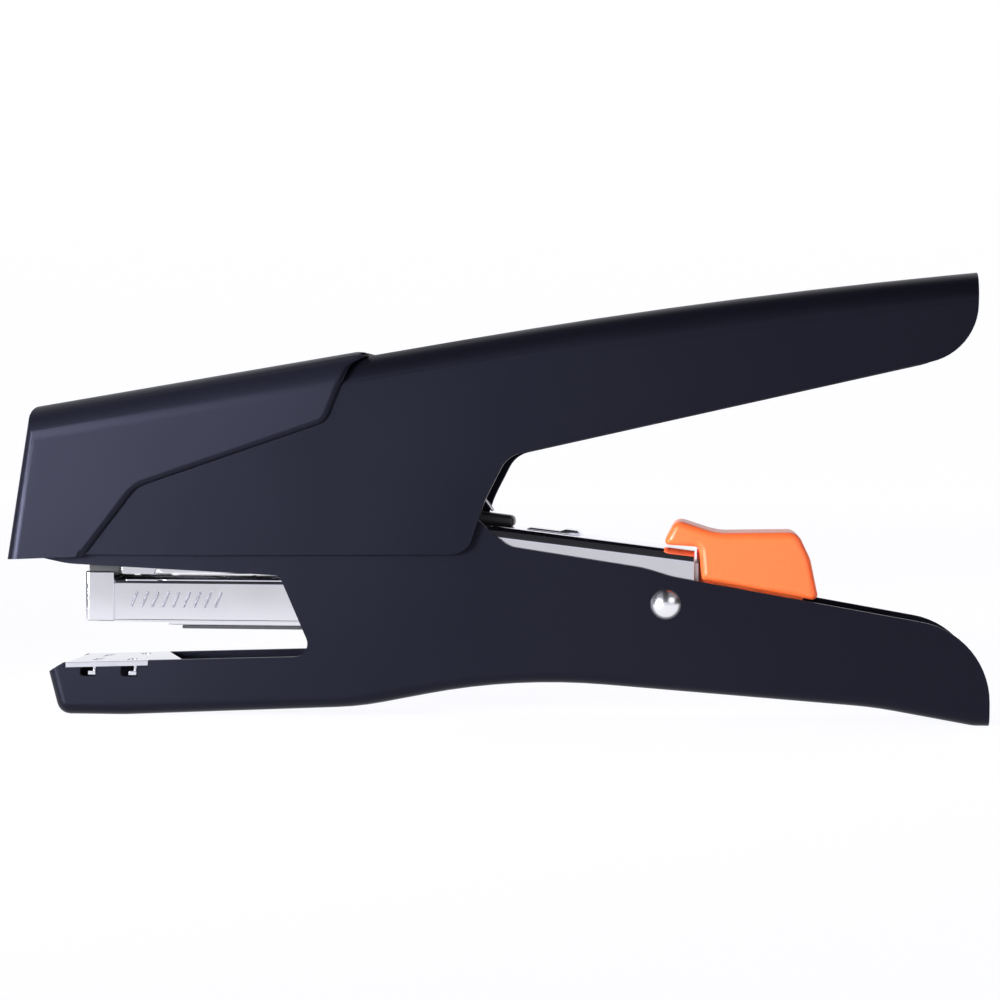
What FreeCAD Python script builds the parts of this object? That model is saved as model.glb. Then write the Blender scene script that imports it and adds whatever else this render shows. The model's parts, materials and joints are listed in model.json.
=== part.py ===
import FreeCAD, Part
import math
import os
from FreeCAD import Vector

# Plier stapler, a compound-lever stapler that is squeezed in the fist.
# Frame: +X runs from the nose to the handle ends, Y is across, +Z is up.
# The origin is the middle of the footprint, on the surface the stapler rests on.
# The model is symmetric about the plane Y = 0. All sizes are in millimetres.

# ---- Driving sizes -------------------------------------------------------
OVERALL_LENGTH = 191.8      # nose cover to the end of the lower handle
OVERALL_HEIGHT = 87.3       # resting surface to the top of the upper handle's end
BODY_WIDTH = 20.6           # outside of the lower frame's walls
NOSE_HEIGHT = 59.3          # resting surface to the upper handle's top at the nose

# ---- Sheet thicknesses and clearances ------------------------------------
FRAME_WALL = 1.2
SHELL_WALL = 1.2
COVER_WALL = 1.2
LEVER_WALL = 1.0
SLEEVE_WALL = 0.8
RAIL_WALL = 0.7
NOSE_PLATE_WALL = 0.6
BASE_WALL = 0.7
ANVIL_THICKNESS = 1.0
SIDE_GAP = 0.3              # between two bodies that swing past each other
RUNNING_FIT = 0.06          # radial clearance of a pin in a moving hole
SEAT_FIT = 0.02             # radial clearance of a pin in a hole that holds it
STAPLE_SPACE = 1.15         # between rail and sleeve, for a 0.7 mm staple leg

# ---- Half widths, from the frame outwards and inwards ---------------------
FRAME_HALF = BODY_WIDTH / 2
FRAME_INNER = FRAME_HALF - FRAME_WALL
SHELL_INNER = FRAME_HALF + SIDE_GAP
SHELL_HALF = SHELL_INNER + SHELL_WALL
COVER_HALF = SHELL_HALF + COVER_WALL
LEVER_HALF = FRAME_INNER - SIDE_GAP
LEVER_INNER = LEVER_HALF - LEVER_WALL
SLEEVE_HALF = LEVER_INNER - SIDE_GAP
SLEEVE_INNER = SLEEVE_HALF - SLEEVE_WALL
RAIL_HALF = SLEEVE_INNER - STAPLE_SPACE
RAIL_INNER = RAIL_HALF - RAIL_WALL
SADDLE_HALF = SLEEVE_INNER - SIDE_GAP
GRIP_HALF = SHELL_INNER - 0.7

# ---- Bend radii of the pressed sheet, measured outside --------------------
FRAME_FOLD = 2.4
SHELL_FOLD = 5.8
LEVER_FOLD = 2.3
SLEEVE_FOLD = 1.8
COVER_FRONT_FOLD = 2.6

# ---- Stations along X ------------------------------------------------------
NOSE_X = -OVERALL_LENGTH / 2
TAIL_X = OVERALL_LENGTH / 2
HANDLE_END_X = TAIL_X - 2.8
PIVOT_X = NOSE_X + 129.7    # rear rivets: lever and magazine swing here
PIVOT_Z = 23.0
PIVOT_RADIUS = 2.0
NOSE_PIN_X = NOSE_X + 8.9   # the upper handle swings here
NOSE_PIN_Z = 45.0
NOSE_PIN_RADIUS = 2.2
STOP_PIN_X = NOSE_X + 89.4  # holds the lever down at rest
STOP_PIN_RADIUS = 1.6
SPINE_X = NOSE_X + 54.1     # front of the spine at the top of the mouth
THROAT_X = NOSE_X + 61.0    # back of the mouth at the jaw's height
SKIRT_Z = 31.7              # lower edge of the upper handle beside the mouth

# ---- Jaw and anvil ---------------------------------------------------------
JAW_FRONT_X = NOSE_X + 9.9
JAW_TOP_Z = 10.36           # jaw's top edge above its front lip
JAW_SLOPE = 2.0             # degrees that the jaw's top rises to the rear
ANVIL_FRONT_X = NOSE_X + 11.5
ANVIL_LENGTH = 16.5
ANVIL_TONGUE = 6.6          # part of the plate behind its flanges, near side
ANVIL_TONGUE_SLANT = 6.2
ANVIL_PLAY = 0.25
SLOT_LENGTH = 3.3
SLOT_FLOOR_Z = 7.7
SLOT_STATIONS = (NOSE_X + 14.4, NOSE_X + 22.6)
HOOK_TOE = 1.5              # length of a hook's toe along the slot
HOOK_TOE_HEIGHT = 0.8
HOOK_NECK = 0.6             # length of the neck between plate and toe
HOOK_GAP = 0.25             # from a hook to its slot's rear end and floor
HOOK_SETBACK = 0.3          # toe's face behind the wall's outer face
HOOK_NECK_SETBACK = 0.7     # neck's face behind the wall's outer face

# ---- Magazine ----------------------------------------------------------------
MAGAZINE_FRONT_X = NOSE_X + 14.9
MAGAZINE_TOP_Z = 27.5
MAGAZINE_BOTTOM_Z = 17.8
MAGAZINE_MOUTH_Z = 18.4     # lower edge of the sleeve beside the staple exit
MAGAZINE_STEP_X = NOSE_X + 31.8
MAGAZINE_REAR_X = PIVOT_X + 4.7
BLADE_SLOT = 1.9            # room for the blade behind the nose plate
NOSE_PLATE_LENGTH = 5.8
NOSE_PLATE_TOP_Z = 28.3
GUIDE_TOP_Z = 30.2
GUIDE_LENGTH = 6.0
RAIL_TOP_Z = 25.7
RAIL_SLOT_HALF = 1.3
ROD_Z = 21.6
ROD_RADIUS = 1.0

# ---- Driver lever ------------------------------------------------------------
LEVER_REAR_X = PIVOT_X + 5.5
LEVER_REAR_Z = 33.2
LEVER_SLOPE = 6.75          # degrees that the lever's top rises to the front
LEVER_FRONT_X = NOSE_X + 22.4
LEVER_BOTTOM_Z = 27.9
TONGUE_FRONT_X = NOSE_X + 14.9
TONGUE_HALF = LEVER_HALF - LEVER_FOLD - 0.1
BLADE_THICKNESS = 0.6
BLADE_TIP_Z = 26.9
BLADE_HALF = SLEEVE_INNER - 0.4
HOLDER_HEIGHT = 6.9
HOLDER_LENGTH = 4.3

# ---- Upper handle's pressure roller -------------------------------------------
ROLLER_X = NOSE_X + 61.9
ROLLER_RADIUS = 4.5
ROLLER_GAP = 0.25
ROLLER_PIN_RADIUS = 2.0
BRACKET_HALF = LEVER_HALF - 0.2
BRACKET_WALL = 1.2
BRACKET_LENGTH = 15.0

# ---- Pusher, its spring and its grip -------------------------------------------
GRIP_FRONT_X = PIVOT_X + 6.9
GRIP_LENGTH = 22.6
GRIP_TOP_Z = 36.9
GRIP_LIFT = 0.4             # gap between the grip and the frame's top edge
GRIP_LIP = 7.6              # overhang in front of the grip's front face
FOLLOWER_LENGTH = 12.0
SPRING_GAP = 0.1            # play at each end of a spring


# ---- Small drawing helpers ------------------------------------------------------
def unit(vector):
    """The vector at length one."""
    return Vector(vector).normalize()


def corner_arc(before, corner, after, radius):
    """Start, middle and end of the arc that rounds a corner."""
    back = unit(before - corner)
    ahead = unit(after - corner)
    half_angle = back.getAngle(ahead) / 2
    reach = radius / math.tan(half_angle)
    centre = corner + unit(back + ahead) * (radius / math.sin(half_angle))
    middle = centre + unit(corner - centre) * radius
    return corner + back * reach, middle, corner + ahead * reach


def outline(corners, y=0.0):
    """Closed wire through (x, z) corners; a third value rounds the corner."""
    points = [Vector(corner[0], y, corner[1]) for corner in corners]
    radii = [corner[2] if len(corner) > 2 else 0 for corner in corners]
    stretches = []
    for i, point in enumerate(points):
        if radii[i]:
            after = points[(i + 1) % len(points)]
            stretches.append(corner_arc(points[i - 1], point, after, radii[i]))
        else:
            stretches.append((point,))
    edges = []
    for i, stretch in enumerate(stretches):
        if len(stretch) == 3:
            edges.append(Part.Arc(*stretch).toShape())
        start = stretch[-1]
        end = stretches[(i + 1) % len(stretches)][0]
        if start.distanceToPoint(end) > 1e-6:
            edges.append(Part.LineSegment(start, end).toShape())
    return Part.Wire(edges)


def prism(corners, half):
    """Solid with the given side outline, from Y = -half to Y = +half."""
    return Part.Face(outline(corners, -half)).extrude(Vector(0, 2 * half, 0))


def box(x, y, z):
    """Box between pairs of limits."""
    corner = Vector(x[0], y[0], z[0])
    return Part.makeBox(x[1] - x[0], y[1] - y[0], z[1] - z[0], corner)


def cross_pin(x, z, radius, half):
    """Cylinder along Y, centred on Y = 0."""
    return Part.makeCylinder(radius, 2 * half, Vector(x, -half, z), Vector(0, 1, 0))


def tube(centre, axis, outer, inner, length):
    """Hollow cylinder that starts at centre and runs along axis."""
    body = Part.makeCylinder(outer, length, centre, axis)
    return body.cut(Part.makeCylinder(inner, length, centre, axis))


def round_edges(solid, radius, chosen):
    """Rounds every edge whose middle point passes the chosen test."""
    edges = []
    for edge in solid.Edges:
        middle = edge.valueAt((edge.FirstParameter + edge.LastParameter) / 2)
        if chosen(middle):
            edges.append(edge)
    return solid.makeFillet(radius, edges)


def on_side(middle, half):
    """Whether a point lies on one of the two side faces."""
    return abs(abs(middle.y) - half) < 1e-4


def mirrored(solid):
    """The solid and its mirror image across Y = 0, as one group."""
    twin = solid.mirror(Vector(0, 0, 0), Vector(0, 1, 0))
    return Part.makeCompound([solid, twin])


# ---- Lines that several pieces share ---------------------------------------------
def slope(degrees):
    """Rise per millimetre of run."""
    return math.tan(math.radians(degrees))


def jaw_z(x):
    """Height of the jaw's top edge."""
    return JAW_TOP_Z + (x - ANVIL_FRONT_X) * slope(JAW_SLOPE)


def lever_z(x):
    """Height of the driver lever's top face."""
    return LEVER_REAR_Z + (LEVER_REAR_X - x) * slope(LEVER_SLOPE)


def front_x(z):
    """X of the nose cover's leaning front face."""
    return NOSE_X + (z - SKIRT_Z + 1.0) * 0.155


CROWN_X = NOSE_X + 136.2
CROWN_Z = OVERALL_HEIGHT - 5.1
HANDLE_RISE = (CROWN_Z - NOSE_HEIGHT) / (CROWN_X - NOSE_X - 3.0)
END_RISE = 0.0963           # slope of the upper handle's top behind its crown
CROWN_REACH = 47.6          # length of the crown's curve on either side of its corner
CROWN_TURN = math.atan(HANDLE_RISE) - math.atan(END_RISE)
CROWN_RADIUS = CROWN_REACH / math.tan(CROWN_TURN / 2)


def handle_z(x):
    """Height of the upper handle's top face in front of its crown."""
    return CROWN_Z + (x - CROWN_X) * HANDLE_RISE


FRAME_TOP_FRONT_X = PIVOT_X + 1.2
FRAME_TOP_FRONT_Z = PIVOT_Z + 5.3
FRAME_TOP_FALL = 0.1733


def frame_top_z(x):
    """Height of the lower handle's top edge behind the rear rivets."""
    return FRAME_TOP_FRONT_Z - (x - FRAME_TOP_FRONT_X) * FRAME_TOP_FALL


# ---- Frame: lower handle, spine, jaw and the hidden upper arm ----------------------
def frame_block(half, fold, inset, rise):
    """Tray that the frame is pressed from, before its side outline is cut."""
    high = OVERALL_HEIGHT + 5
    front = NOSE_X - 5 - inset
    tail = TAIL_X + 3 + inset
    corners = [
        (front, high),
        (front, 14),
        (JAW_FRONT_X - 3.7 + inset, 14),
        (JAW_FRONT_X + inset, rise, fold + 0.4),
        (JAW_FRONT_X + 13, rise, 60),
        (NOSE_X + 69.9, 2.18 + rise, 60),
        (NOSE_X + 100.5, 8.3 + rise, 130),
        (TAIL_X - 21.9, 3.3 + rise, 80),
        (TAIL_X - 2.9, rise, 8),
        (tail, rise),
        (tail, high),
    ]
    block = prism(corners, half)

    def folded(middle):
        low = middle.z < 13.9 and middle.x < tail - 0.1
        return on_side(middle, half) and low

    return round_edges(block, fold, folded)


def frame_side():
    """Side outline of the frame's two walls."""
    tail_corner_z = frame_top_z(TAIL_X)
    low = -1.0
    return prism([
        (NOSE_X - 1, low),
        (NOSE_X - 1, 3.1),
        (ANVIL_FRONT_X - 0.4, jaw_z(ANVIL_FRONT_X), 0.5),
        (THROAT_X, jaw_z(THROAT_X), 2.6),
        (SPINE_X, LEVER_BOTTOM_Z, 1.2),
        (NOSE_X + 11.9, 29.9, 20),
        (NOSE_X + 3.9, 31.6, 3),
        (NOSE_X + 3.9, NOSE_PIN_Z + 5, 4.9),
        (STOP_PIN_X - 3.0, STOP_PIN_Z + 3.2, 6),
        (STOP_PIN_X + 5.3, STOP_PIN_Z - 5.2, 5),
        (STOP_PIN_X + 9.7, STOP_PIN_Z - 8.9, 5),
        (PIVOT_X - 4.3, FRAME_TOP_FRONT_Z + 1.65, 20),
        (FRAME_TOP_FRONT_X, FRAME_TOP_FRONT_Z, 10),
        (TAIL_X, tail_corner_z, min(15.6, tail_corner_z - 1)),
        (TAIL_X, low),
    ], FRAME_HALF + 1)


def anvil_recess():
    """Step in the jaw's top edges that the anvil plate drops into."""
    front = ANVIL_FRONT_X - ANVIL_PLAY
    rear = ANVIL_FRONT_X + ANVIL_LENGTH + ANVIL_PLAY
    return prism([
        (front, jaw_z(front) - ANVIL_THICKNESS),
        (rear, jaw_z(rear) - ANVIL_THICKNESS),
        (rear, jaw_z(rear) + 3),
        (front, jaw_z(front) + 3),
    ], FRAME_HALF + 1)


def frame_shell():
    """Pressed steel body: one channel with a C-shaped mouth at the front."""
    body = frame_block(FRAME_HALF, FRAME_FOLD, 0, 0).common(frame_side())
    inner_fold = FRAME_FOLD - FRAME_WALL
    body = body.cut(frame_block(FRAME_INNER, inner_fold, FRAME_WALL, FRAME_WALL))
    body = body.cut(anvil_recess())
    for station in SLOT_STATIONS:
        body = body.cut(prism([
            (station, SLOT_FLOOR_Z, 0.4),
            (station + SLOT_LENGTH, SLOT_FLOOR_Z, 0.4),
            (station + SLOT_LENGTH, JAW_TOP_Z + 2),
            (station, JAW_TOP_Z + 2),
        ], FRAME_HALF + 1))
    wide = FRAME_HALF + 1
    body = body.cut(cross_pin(PIVOT_X, PIVOT_Z, PIVOT_RADIUS + SEAT_FIT, wide))
    body = body.cut(cross_pin(NOSE_PIN_X, NOSE_PIN_Z, NOSE_PIN_RADIUS + SEAT_FIT, wide))
    return body.cut(cross_pin(STOP_PIN_X, STOP_PIN_Z, STOP_PIN_RADIUS + SEAT_FIT, wide))


def anvil_plate():
    """Plate on the jaw that bends the staple legs, hooked into the jaw's slots."""
    front = ANVIL_FRONT_X
    rear = ANVIL_FRONT_X + ANVIL_LENGTH
    tip = rear + ANVIL_TONGUE

    def strip(start, end, half):
        return prism([
            (start, jaw_z(start) - ANVIL_THICKNESS),
            (end, jaw_z(end) - ANVIL_THICKNESS),
            (end, jaw_z(end)),
            (start, jaw_z(start)),
        ], half)

    tongue_half = FRAME_INNER - SEAT_FIT
    plate = strip(front, rear, FRAME_HALF).fuse(strip(front, tip, tongue_half))
    slant = Part.makePolygon([
        Vector(tip, -tongue_half, 0),
        Vector(tip + 5, -tongue_half, 0),
        Vector(tip + 5, tongue_half, 0),
        Vector(tip - ANVIL_TONGUE_SLANT, tongue_half, 0),
        Vector(tip, -tongue_half, 0),
    ])
    plate = plate.cut(Part.Face(slant).extrude(Vector(0, 0, JAW_TOP_Z + 5)))
    for station in SLOT_STATIONS:
        end = station + SLOT_LENGTH - HOOK_GAP
        low = SLOT_FLOOR_Z + HOOK_GAP
        high = jaw_z(end) - ANVIL_THICKNESS / 2
        neck_y = (FRAME_INNER, FRAME_HALF - HOOK_NECK_SETBACK)
        toe_y = (FRAME_INNER, FRAME_HALF - HOOK_SETBACK)
        neck = box((end - HOOK_NECK, end), neck_y, (low, high))
        toe = box((end - HOOK_TOE, end), toe_y, (low, low + HOOK_TOE_HEIGHT))
        hook = neck.fuse(toe)
        plate = plate.fuse(hook).fuse(hook.mirror(Vector(), Vector(0, 1, 0)))
    plate = plate.removeSplitter()
    groove_x = BLADE_X + 0.3
    groove_radius = 5.5
    for side in (-1, 1):
        top = Vector(groove_x - 0.9, side * 4.3, jaw_z(groove_x) + groove_radius - 0.5)
        plate = plate.cut(Part.makeCylinder(groove_radius, 1.8, top, Vector(1, 0, 0)))
        hole = Vector(groove_x + 7.2, side * 6.2, 0)
        plate = plate.cut(Part.makeCylinder(1.1, JAW_TOP_Z + 5, hole))
    return plate


def nose_pin():
    """Hidden pin that the upper handle swings on; its ends lie under the cover."""
    return cross_pin(NOSE_PIN_X, NOSE_PIN_Z, NOSE_PIN_RADIUS, SHELL_HALF - 0.05)


def nose_spacer():
    """Sleeve on the nose pin that keeps the two arms apart."""
    start = Vector(NOSE_PIN_X, -FRAME_INNER, NOSE_PIN_Z)
    bore = NOSE_PIN_RADIUS + SEAT_FIT
    return tube(start, Vector(0, 1, 0), bore + 1.0, bore, 2 * FRAME_INNER)


def pivot_rivets():
    """Two domed stub rivets; their inner ends stop short of the staple channel."""
    head_radius = 2.95
    head_height = 1.6
    ball = (head_radius ** 2 + head_height ** 2) / (2 * head_height)
    inner_end = SLEEVE_INNER + 0.1
    length = FRAME_HALF - inner_end
    outward = Vector(0, 1, 0)
    shank = Part.makeCylinder(PIVOT_RADIUS, length, Vector(PIVOT_X, inner_end, PIVOT_Z), outward)
    centre = Vector(PIVOT_X, FRAME_HALF + head_height - ball, PIVOT_Z)
    limits = Part.makeCylinder(ball, ball, Vector(PIVOT_X, FRAME_HALF, PIVOT_Z), outward)
    head = Part.makeSphere(ball, centre).common(limits)
    return mirrored(shank.fuse(head).removeSplitter())


def stop_pin():
    """Cross pin that ties the arms and stops the lever's upward swing."""
    return cross_pin(STOP_PIN_X, STOP_PIN_Z, STOP_PIN_RADIUS, FRAME_HALF)


LIFT_SPRING_X = NOSE_X + 74.0
LIFT_SPRING_RADIUS = 5.0
LIFT_SEAT_Z = 6.4


def spring_seat():
    """Cup on the frame's floor that centres the magazine's lifting spring."""
    foot = Part.makeCylinder(6.2, LIFT_SEAT_Z - 2, Vector(LIFT_SPRING_X, 0, 2))
    boss = Part.makeCylinder(3.6, 2.5, Vector(LIFT_SPRING_X, 0, LIFT_SEAT_Z))
    inside = frame_block(FRAME_INNER, FRAME_FOLD - FRAME_WALL, FRAME_WALL, FRAME_WALL)
    return foot.common(inside).fuse(boss).removeSplitter()


def lift_spring():
    """Coil spring that lifts the magazine, as the tube that its wire fills."""
    length = MAGAZINE_BOTTOM_Z - BASE_WALL - LIFT_SEAT_Z - 2 * SPRING_GAP
    start = Vector(LIFT_SPRING_X, 0, LIFT_SEAT_Z + SPRING_GAP)
    return tube(start, Vector(0, 0, 1), LIFT_SPRING_RADIUS, LIFT_SPRING_RADIUS - 1.0, length)


# ---- Upper handle -------------------------------------------------------------------
def handle_block(half, fold, drop, margin):
    """Closed-top channel along the upper handle's curved top line."""
    front = NOSE_X - margin
    end = TAIL_X + margin
    corners = [
        (front, 15),
        (front, handle_z(front) - drop),
        (CROWN_X, CROWN_Z - drop, CROWN_RADIUS),
        (end, OVERALL_HEIGHT - drop + (end - HANDLE_END_X) * END_RISE),
        (end, 15),
    ]
    block = prism(corners, half)

    def folded(middle):
        inside = front + 0.1 < middle.x < end - 0.1
        return on_side(middle, half) and inside and middle.z > 16

    return round_edges(block, fold, folded)


HANDLE_DEPTH = 15.4         # depth of the upper handle at its end
THROAT_TOP_Z = 51.5


def handle_side():
    """Side outline of the upper handle's two walls."""
    underside_z = OVERALL_HEIGHT - HANDLE_DEPTH
    lean = COVER_FRONT_FOLD + 0.1
    top = OVERALL_HEIGHT + 12
    return prism([
        (front_x(SKIRT_Z) + lean, SKIRT_Z, 1),
        (front_x(top) + lean, top),
        (HANDLE_END_X + 0.3, top),
        (HANDLE_END_X - 0.3, underside_z, 11.4),
        (NOSE_X + 98.9, THROAT_TOP_Z, 5.5),
        (NOSE_X + 94.6, THROAT_TOP_Z - 8.5, 20),
        (NOSE_X + 91.2, SKIRT_Z + 0.6, 4.5),
        (NOSE_X + 39, SKIRT_Z),
    ], SHELL_HALF + 1)


def handle_shell():
    """Pressed steel upper handle, open below, that wraps the frame's arm."""
    body = handle_block(SHELL_HALF, SHELL_FOLD, 0, 20).common(handle_side())
    body = body.cut(handle_block(SHELL_INNER, SHELL_FOLD - SHELL_WALL, SHELL_WALL, 25))
    bore = NOSE_PIN_RADIUS + RUNNING_FIT
    return body.cut(cross_pin(NOSE_PIN_X, NOSE_PIN_Z, bore, SHELL_HALF + 1))


def cover_block(half, fold, drop):
    """Straight closed-top channel under or around the nose cover."""
    front = NOSE_X - 12
    rear = NOSE_X + 90
    block = prism([
        (front, 15),
        (front, handle_z(front) - drop),
        (rear, handle_z(rear) - drop),
        (rear, 15),
    ], half)

    def folded(middle):
        inside = front + 0.1 < middle.x < rear - 0.1
        return on_side(middle, half) and inside and middle.z > 16

    return round_edges(block, fold, folded)


def cover_front_block(half, fold, lean):
    """Block behind a leaning front face, with its two front edges rounded."""
    top = NOSE_HEIGHT + 30
    block = prism([
        (front_x(10) + lean, 10),
        (front_x(top) + lean, top),
        (NOSE_X + 95, top),
        (NOSE_X + 95, 10),
    ], half)

    def front_edge(middle):
        return on_side(middle, half) and middle.x < NOSE_X + 20 and 11 < middle.z < top - 1

    return round_edges(block, fold, front_edge)


def cover_side():
    """Side outline of the nose cover, with its stepped rear edge."""
    bottom = SKIRT_Z - 1.0
    top = NOSE_HEIGHT + COVER_WALL + 0.9
    rear_x = NOSE_X + 72.0
    rear_z = handle_z(rear_x) + COVER_WALL
    return prism([
        (front_x(bottom), bottom),
        (front_x(top), top, 2.4),
        (rear_x - 3, handle_z(rear_x - 3) + COVER_WALL, 8),
        (rear_x, rear_z - 0.9, 0.5),
        (NOSE_X + 68.0, rear_z - 3.3, 3),
        (NOSE_X + 63.6, rear_z - 14.4, 3.5),
        (NOSE_X + 26.1, 45.0, 6),
        (NOSE_X + 15.6, bottom + 0.7, 3),
    ], COVER_HALF + 1)


def nose_cover():
    """Moulded cap over the front of the upper handle."""
    outside = cover_block(COVER_HALF, SHELL_FOLD + COVER_WALL, -COVER_WALL)
    outside = outside.common(cover_front_block(COVER_HALF, COVER_FRONT_FOLD, 0))
    inside = cover_block(SHELL_HALF, SHELL_FOLD, 0)
    inner_fold = COVER_FRONT_FOLD - COVER_WALL
    inside = inside.common(cover_front_block(SHELL_HALF, inner_fold, COVER_WALL))
    return outside.common(cover_side()).cut(inside)


def roller_bracket():
    """Channel welded under the handle's top that carries the pressure roller."""
    front = ROLLER_X - BRACKET_LENGTH / 2
    rear = ROLLER_X + BRACKET_LENGTH / 2
    drop = SHELL_WALL
    cheek = [
        (front, handle_z(front) - drop),
        (rear, handle_z(rear) - drop),
        (ROLLER_X + 4.2, ROLLER_Z - 3.2, 3.4),
        (ROLLER_X - 4.2, ROLLER_Z - 3.2, 3.4),
    ]
    block = prism(cheek, BRACKET_HALF)
    ceiling = handle_z(ROLLER_X) - drop

    def folded(middle):
        return on_side(middle, BRACKET_HALF) and middle.z > ceiling - 0.5

    block = round_edges(block, 4.0, folded)
    opening = [(x, z - BRACKET_WALL) for x, z in [
        (front - 1, handle_z(front - 1) - drop),
        (rear + 1, handle_z(rear + 1) - drop),
    ]]
    opening += [(rear + 1, ROLLER_Z - 20), (front - 1, ROLLER_Z - 20)]
    bracket = block.cut(prism(opening, BRACKET_HALF - BRACKET_WALL))
    return bracket.cut(cross_pin(ROLLER_X, ROLLER_Z, ROLLER_PIN_RADIUS + SEAT_FIT, BRACKET_HALF + 1))


def roller_pin():
    """Axle of the pressure roller."""
    return cross_pin(ROLLER_X, ROLLER_Z, ROLLER_PIN_RADIUS, BRACKET_HALF)


def pressure_roller():
    """Roller that pushes the driver lever down as the handle closes."""
    half = BRACKET_HALF - BRACKET_WALL - SIDE_GAP
    start = Vector(ROLLER_X, -half, ROLLER_Z)
    bore = ROLLER_PIN_RADIUS + RUNNING_FIT
    return tube(start, Vector(0, 1, 0), ROLLER_RADIUS, bore, 2 * half)


# ---- Driver lever -----------------------------------------------------------------------
def driver_lever():
    """Inverted channel from the rear rivets to the nose that carries the blade."""
    boss = 5.2
    corners = [
        (LEVER_FRONT_X, lever_z(LEVER_FRONT_X)),
        (LEVER_REAR_X, LEVER_REAR_Z),
        (LEVER_REAR_X - 0.3, PIVOT_Z - boss, 4.6),
        (PIVOT_X - boss, PIVOT_Z - boss, 4.6),
        (PIVOT_X - 12, LEVER_BOTTOM_Z - 3, 12),
        (SPINE_X + 12, LEVER_BOTTOM_Z + 0.3, 20),
        (LEVER_FRONT_X + 8.2, LEVER_BOTTOM_Z + 0.3, 0.6),
        (LEVER_FRONT_X + 6.9, LEVER_BOTTOM_Z + 1.3, 0.4),
        (LEVER_FRONT_X + 6.5, LEVER_BOTTOM_Z, 0.4),
        (LEVER_FRONT_X, LEVER_BOTTOM_Z, 0.4),
    ]
    channel = prism(corners, LEVER_HALF)

    def folded(middle):
        top = abs(middle.z - lever_z(middle.x)) < 0.01
        return on_side(middle, LEVER_HALF) and top

    def folded_inside(middle):
        return on_side(middle, LEVER_INNER) and middle.z > LEVER_REAR_Z - 2 * LEVER_WALL

    channel = round_edges(channel, LEVER_FOLD, folded)
    front = LEVER_FRONT_X - 1
    rear = LEVER_REAR_X + 1
    hollow = prism([
        (front, lever_z(front) - LEVER_WALL),
        (rear, lever_z(rear) - LEVER_WALL),
        (rear, 5),
        (front, 5),
    ], LEVER_INNER)
    hollow = round_edges(hollow, LEVER_FOLD - LEVER_WALL, folded_inside)
    channel = channel.cut(hollow)
    reach = LEVER_FRONT_X + 2
    tongue = prism([
        (TONGUE_FRONT_X, lever_z(TONGUE_FRONT_X) - LEVER_WALL),
        (reach, lever_z(reach) - LEVER_WALL),
        (reach, lever_z(reach)),
        (TONGUE_FRONT_X, lever_z(TONGUE_FRONT_X)),
    ], TONGUE_HALF)
    lever = channel.fuse(tongue).removeSplitter()
    lever = lever.cut(cross_pin(PIVOT_X, PIVOT_Z, PIVOT_RADIUS + RUNNING_FIT, LEVER_HALF + 1))
    for place in blade_rivet_places():
        lever = lever.cut(Part.makeCylinder(BLADE_RIVET_RADIUS + SEAT_FIT, 20, place))
    return lever


BLADE_X = MAGAZINE_FRONT_X + NOSE_PLATE_WALL + 1.0
BLADE_RIVET_RADIUS = 1.0


def blade_holder():
    """Block under the lever's tongue that the blade is fixed to."""
    front = BLADE_X + BLADE_THICKNESS
    rear = front + HOLDER_LENGTH
    under = LEVER_WALL
    block = prism([
        (front, lever_z(front) - under),
        (front, lever_z(front) - under - HOLDER_HEIGHT),
        (rear, lever_z(front) - under - HOLDER_HEIGHT, 1.0),
        (rear, lever_z(rear) - under),
    ], TONGUE_HALF)
    for place in blade_rivet_places():
        block = block.cut(Part.makeCylinder(BLADE_RIVET_RADIUS + SEAT_FIT, 20, place))
    return block


def blade_rivet_places():
    """Lower ends of the two rivets that hold the blade holder."""
    x = BLADE_X + BLADE_THICKNESS + HOLDER_LENGTH / 2
    z = lever_z(x) - LEVER_WALL - HOLDER_HEIGHT + 1.5
    return [Vector(x, side * TONGUE_HALF / 2, z) for side in (-1, 1)]


def blade_rivets():
    """Two small rivets through the lever's tongue into the blade holder."""
    group = []
    for place in blade_rivet_places():
        top = lever_z(place.x) + 0.3
        shank = Part.makeCylinder(BLADE_RIVET_RADIUS, top - place.z, place)
        head = Part.makeCylinder(1.8, 0.7, Vector(place.x, place.y, top))
        group.append(shank.fuse(head).removeSplitter())
    return Part.makeCompound(group)


def driver_blade():
    """Hardened blade that pushes one staple out at each stroke."""
    top = lever_z(BLADE_X + BLADE_THICKNESS) - LEVER_WALL - 0.1
    x = (BLADE_X, BLADE_X + BLADE_THICKNESS)
    return box(x, (-BLADE_HALF, BLADE_HALF), (BLADE_TIP_Z, top))


BUMPER_THICKNESS = 2.2
STOP_PIN_Z = lever_z(STOP_PIN_X) + BUMPER_THICKNESS + STOP_PIN_RADIUS + SIDE_GAP + 0.1


def lever_bumper():
    """Rubber buffer on the lever that meets the stop pin."""
    front = STOP_PIN_X - 2.5
    rear = STOP_PIN_X + 10.2
    return prism([
        (front, lever_z(front)),
        (rear, lever_z(rear)),
        (rear, lever_z(rear) + BUMPER_THICKNESS, 1.0),
        (front, lever_z(front) + BUMPER_THICKNESS, 1.0),
    ], 3.0)


# ---- Magazine --------------------------------------------------------------------------------
SLEEVE_FRONT_X = MAGAZINE_FRONT_X + NOSE_PLATE_WALL + BLADE_SLOT
RAIL_FRONT_X = SLEEVE_FRONT_X + 0.3


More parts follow.
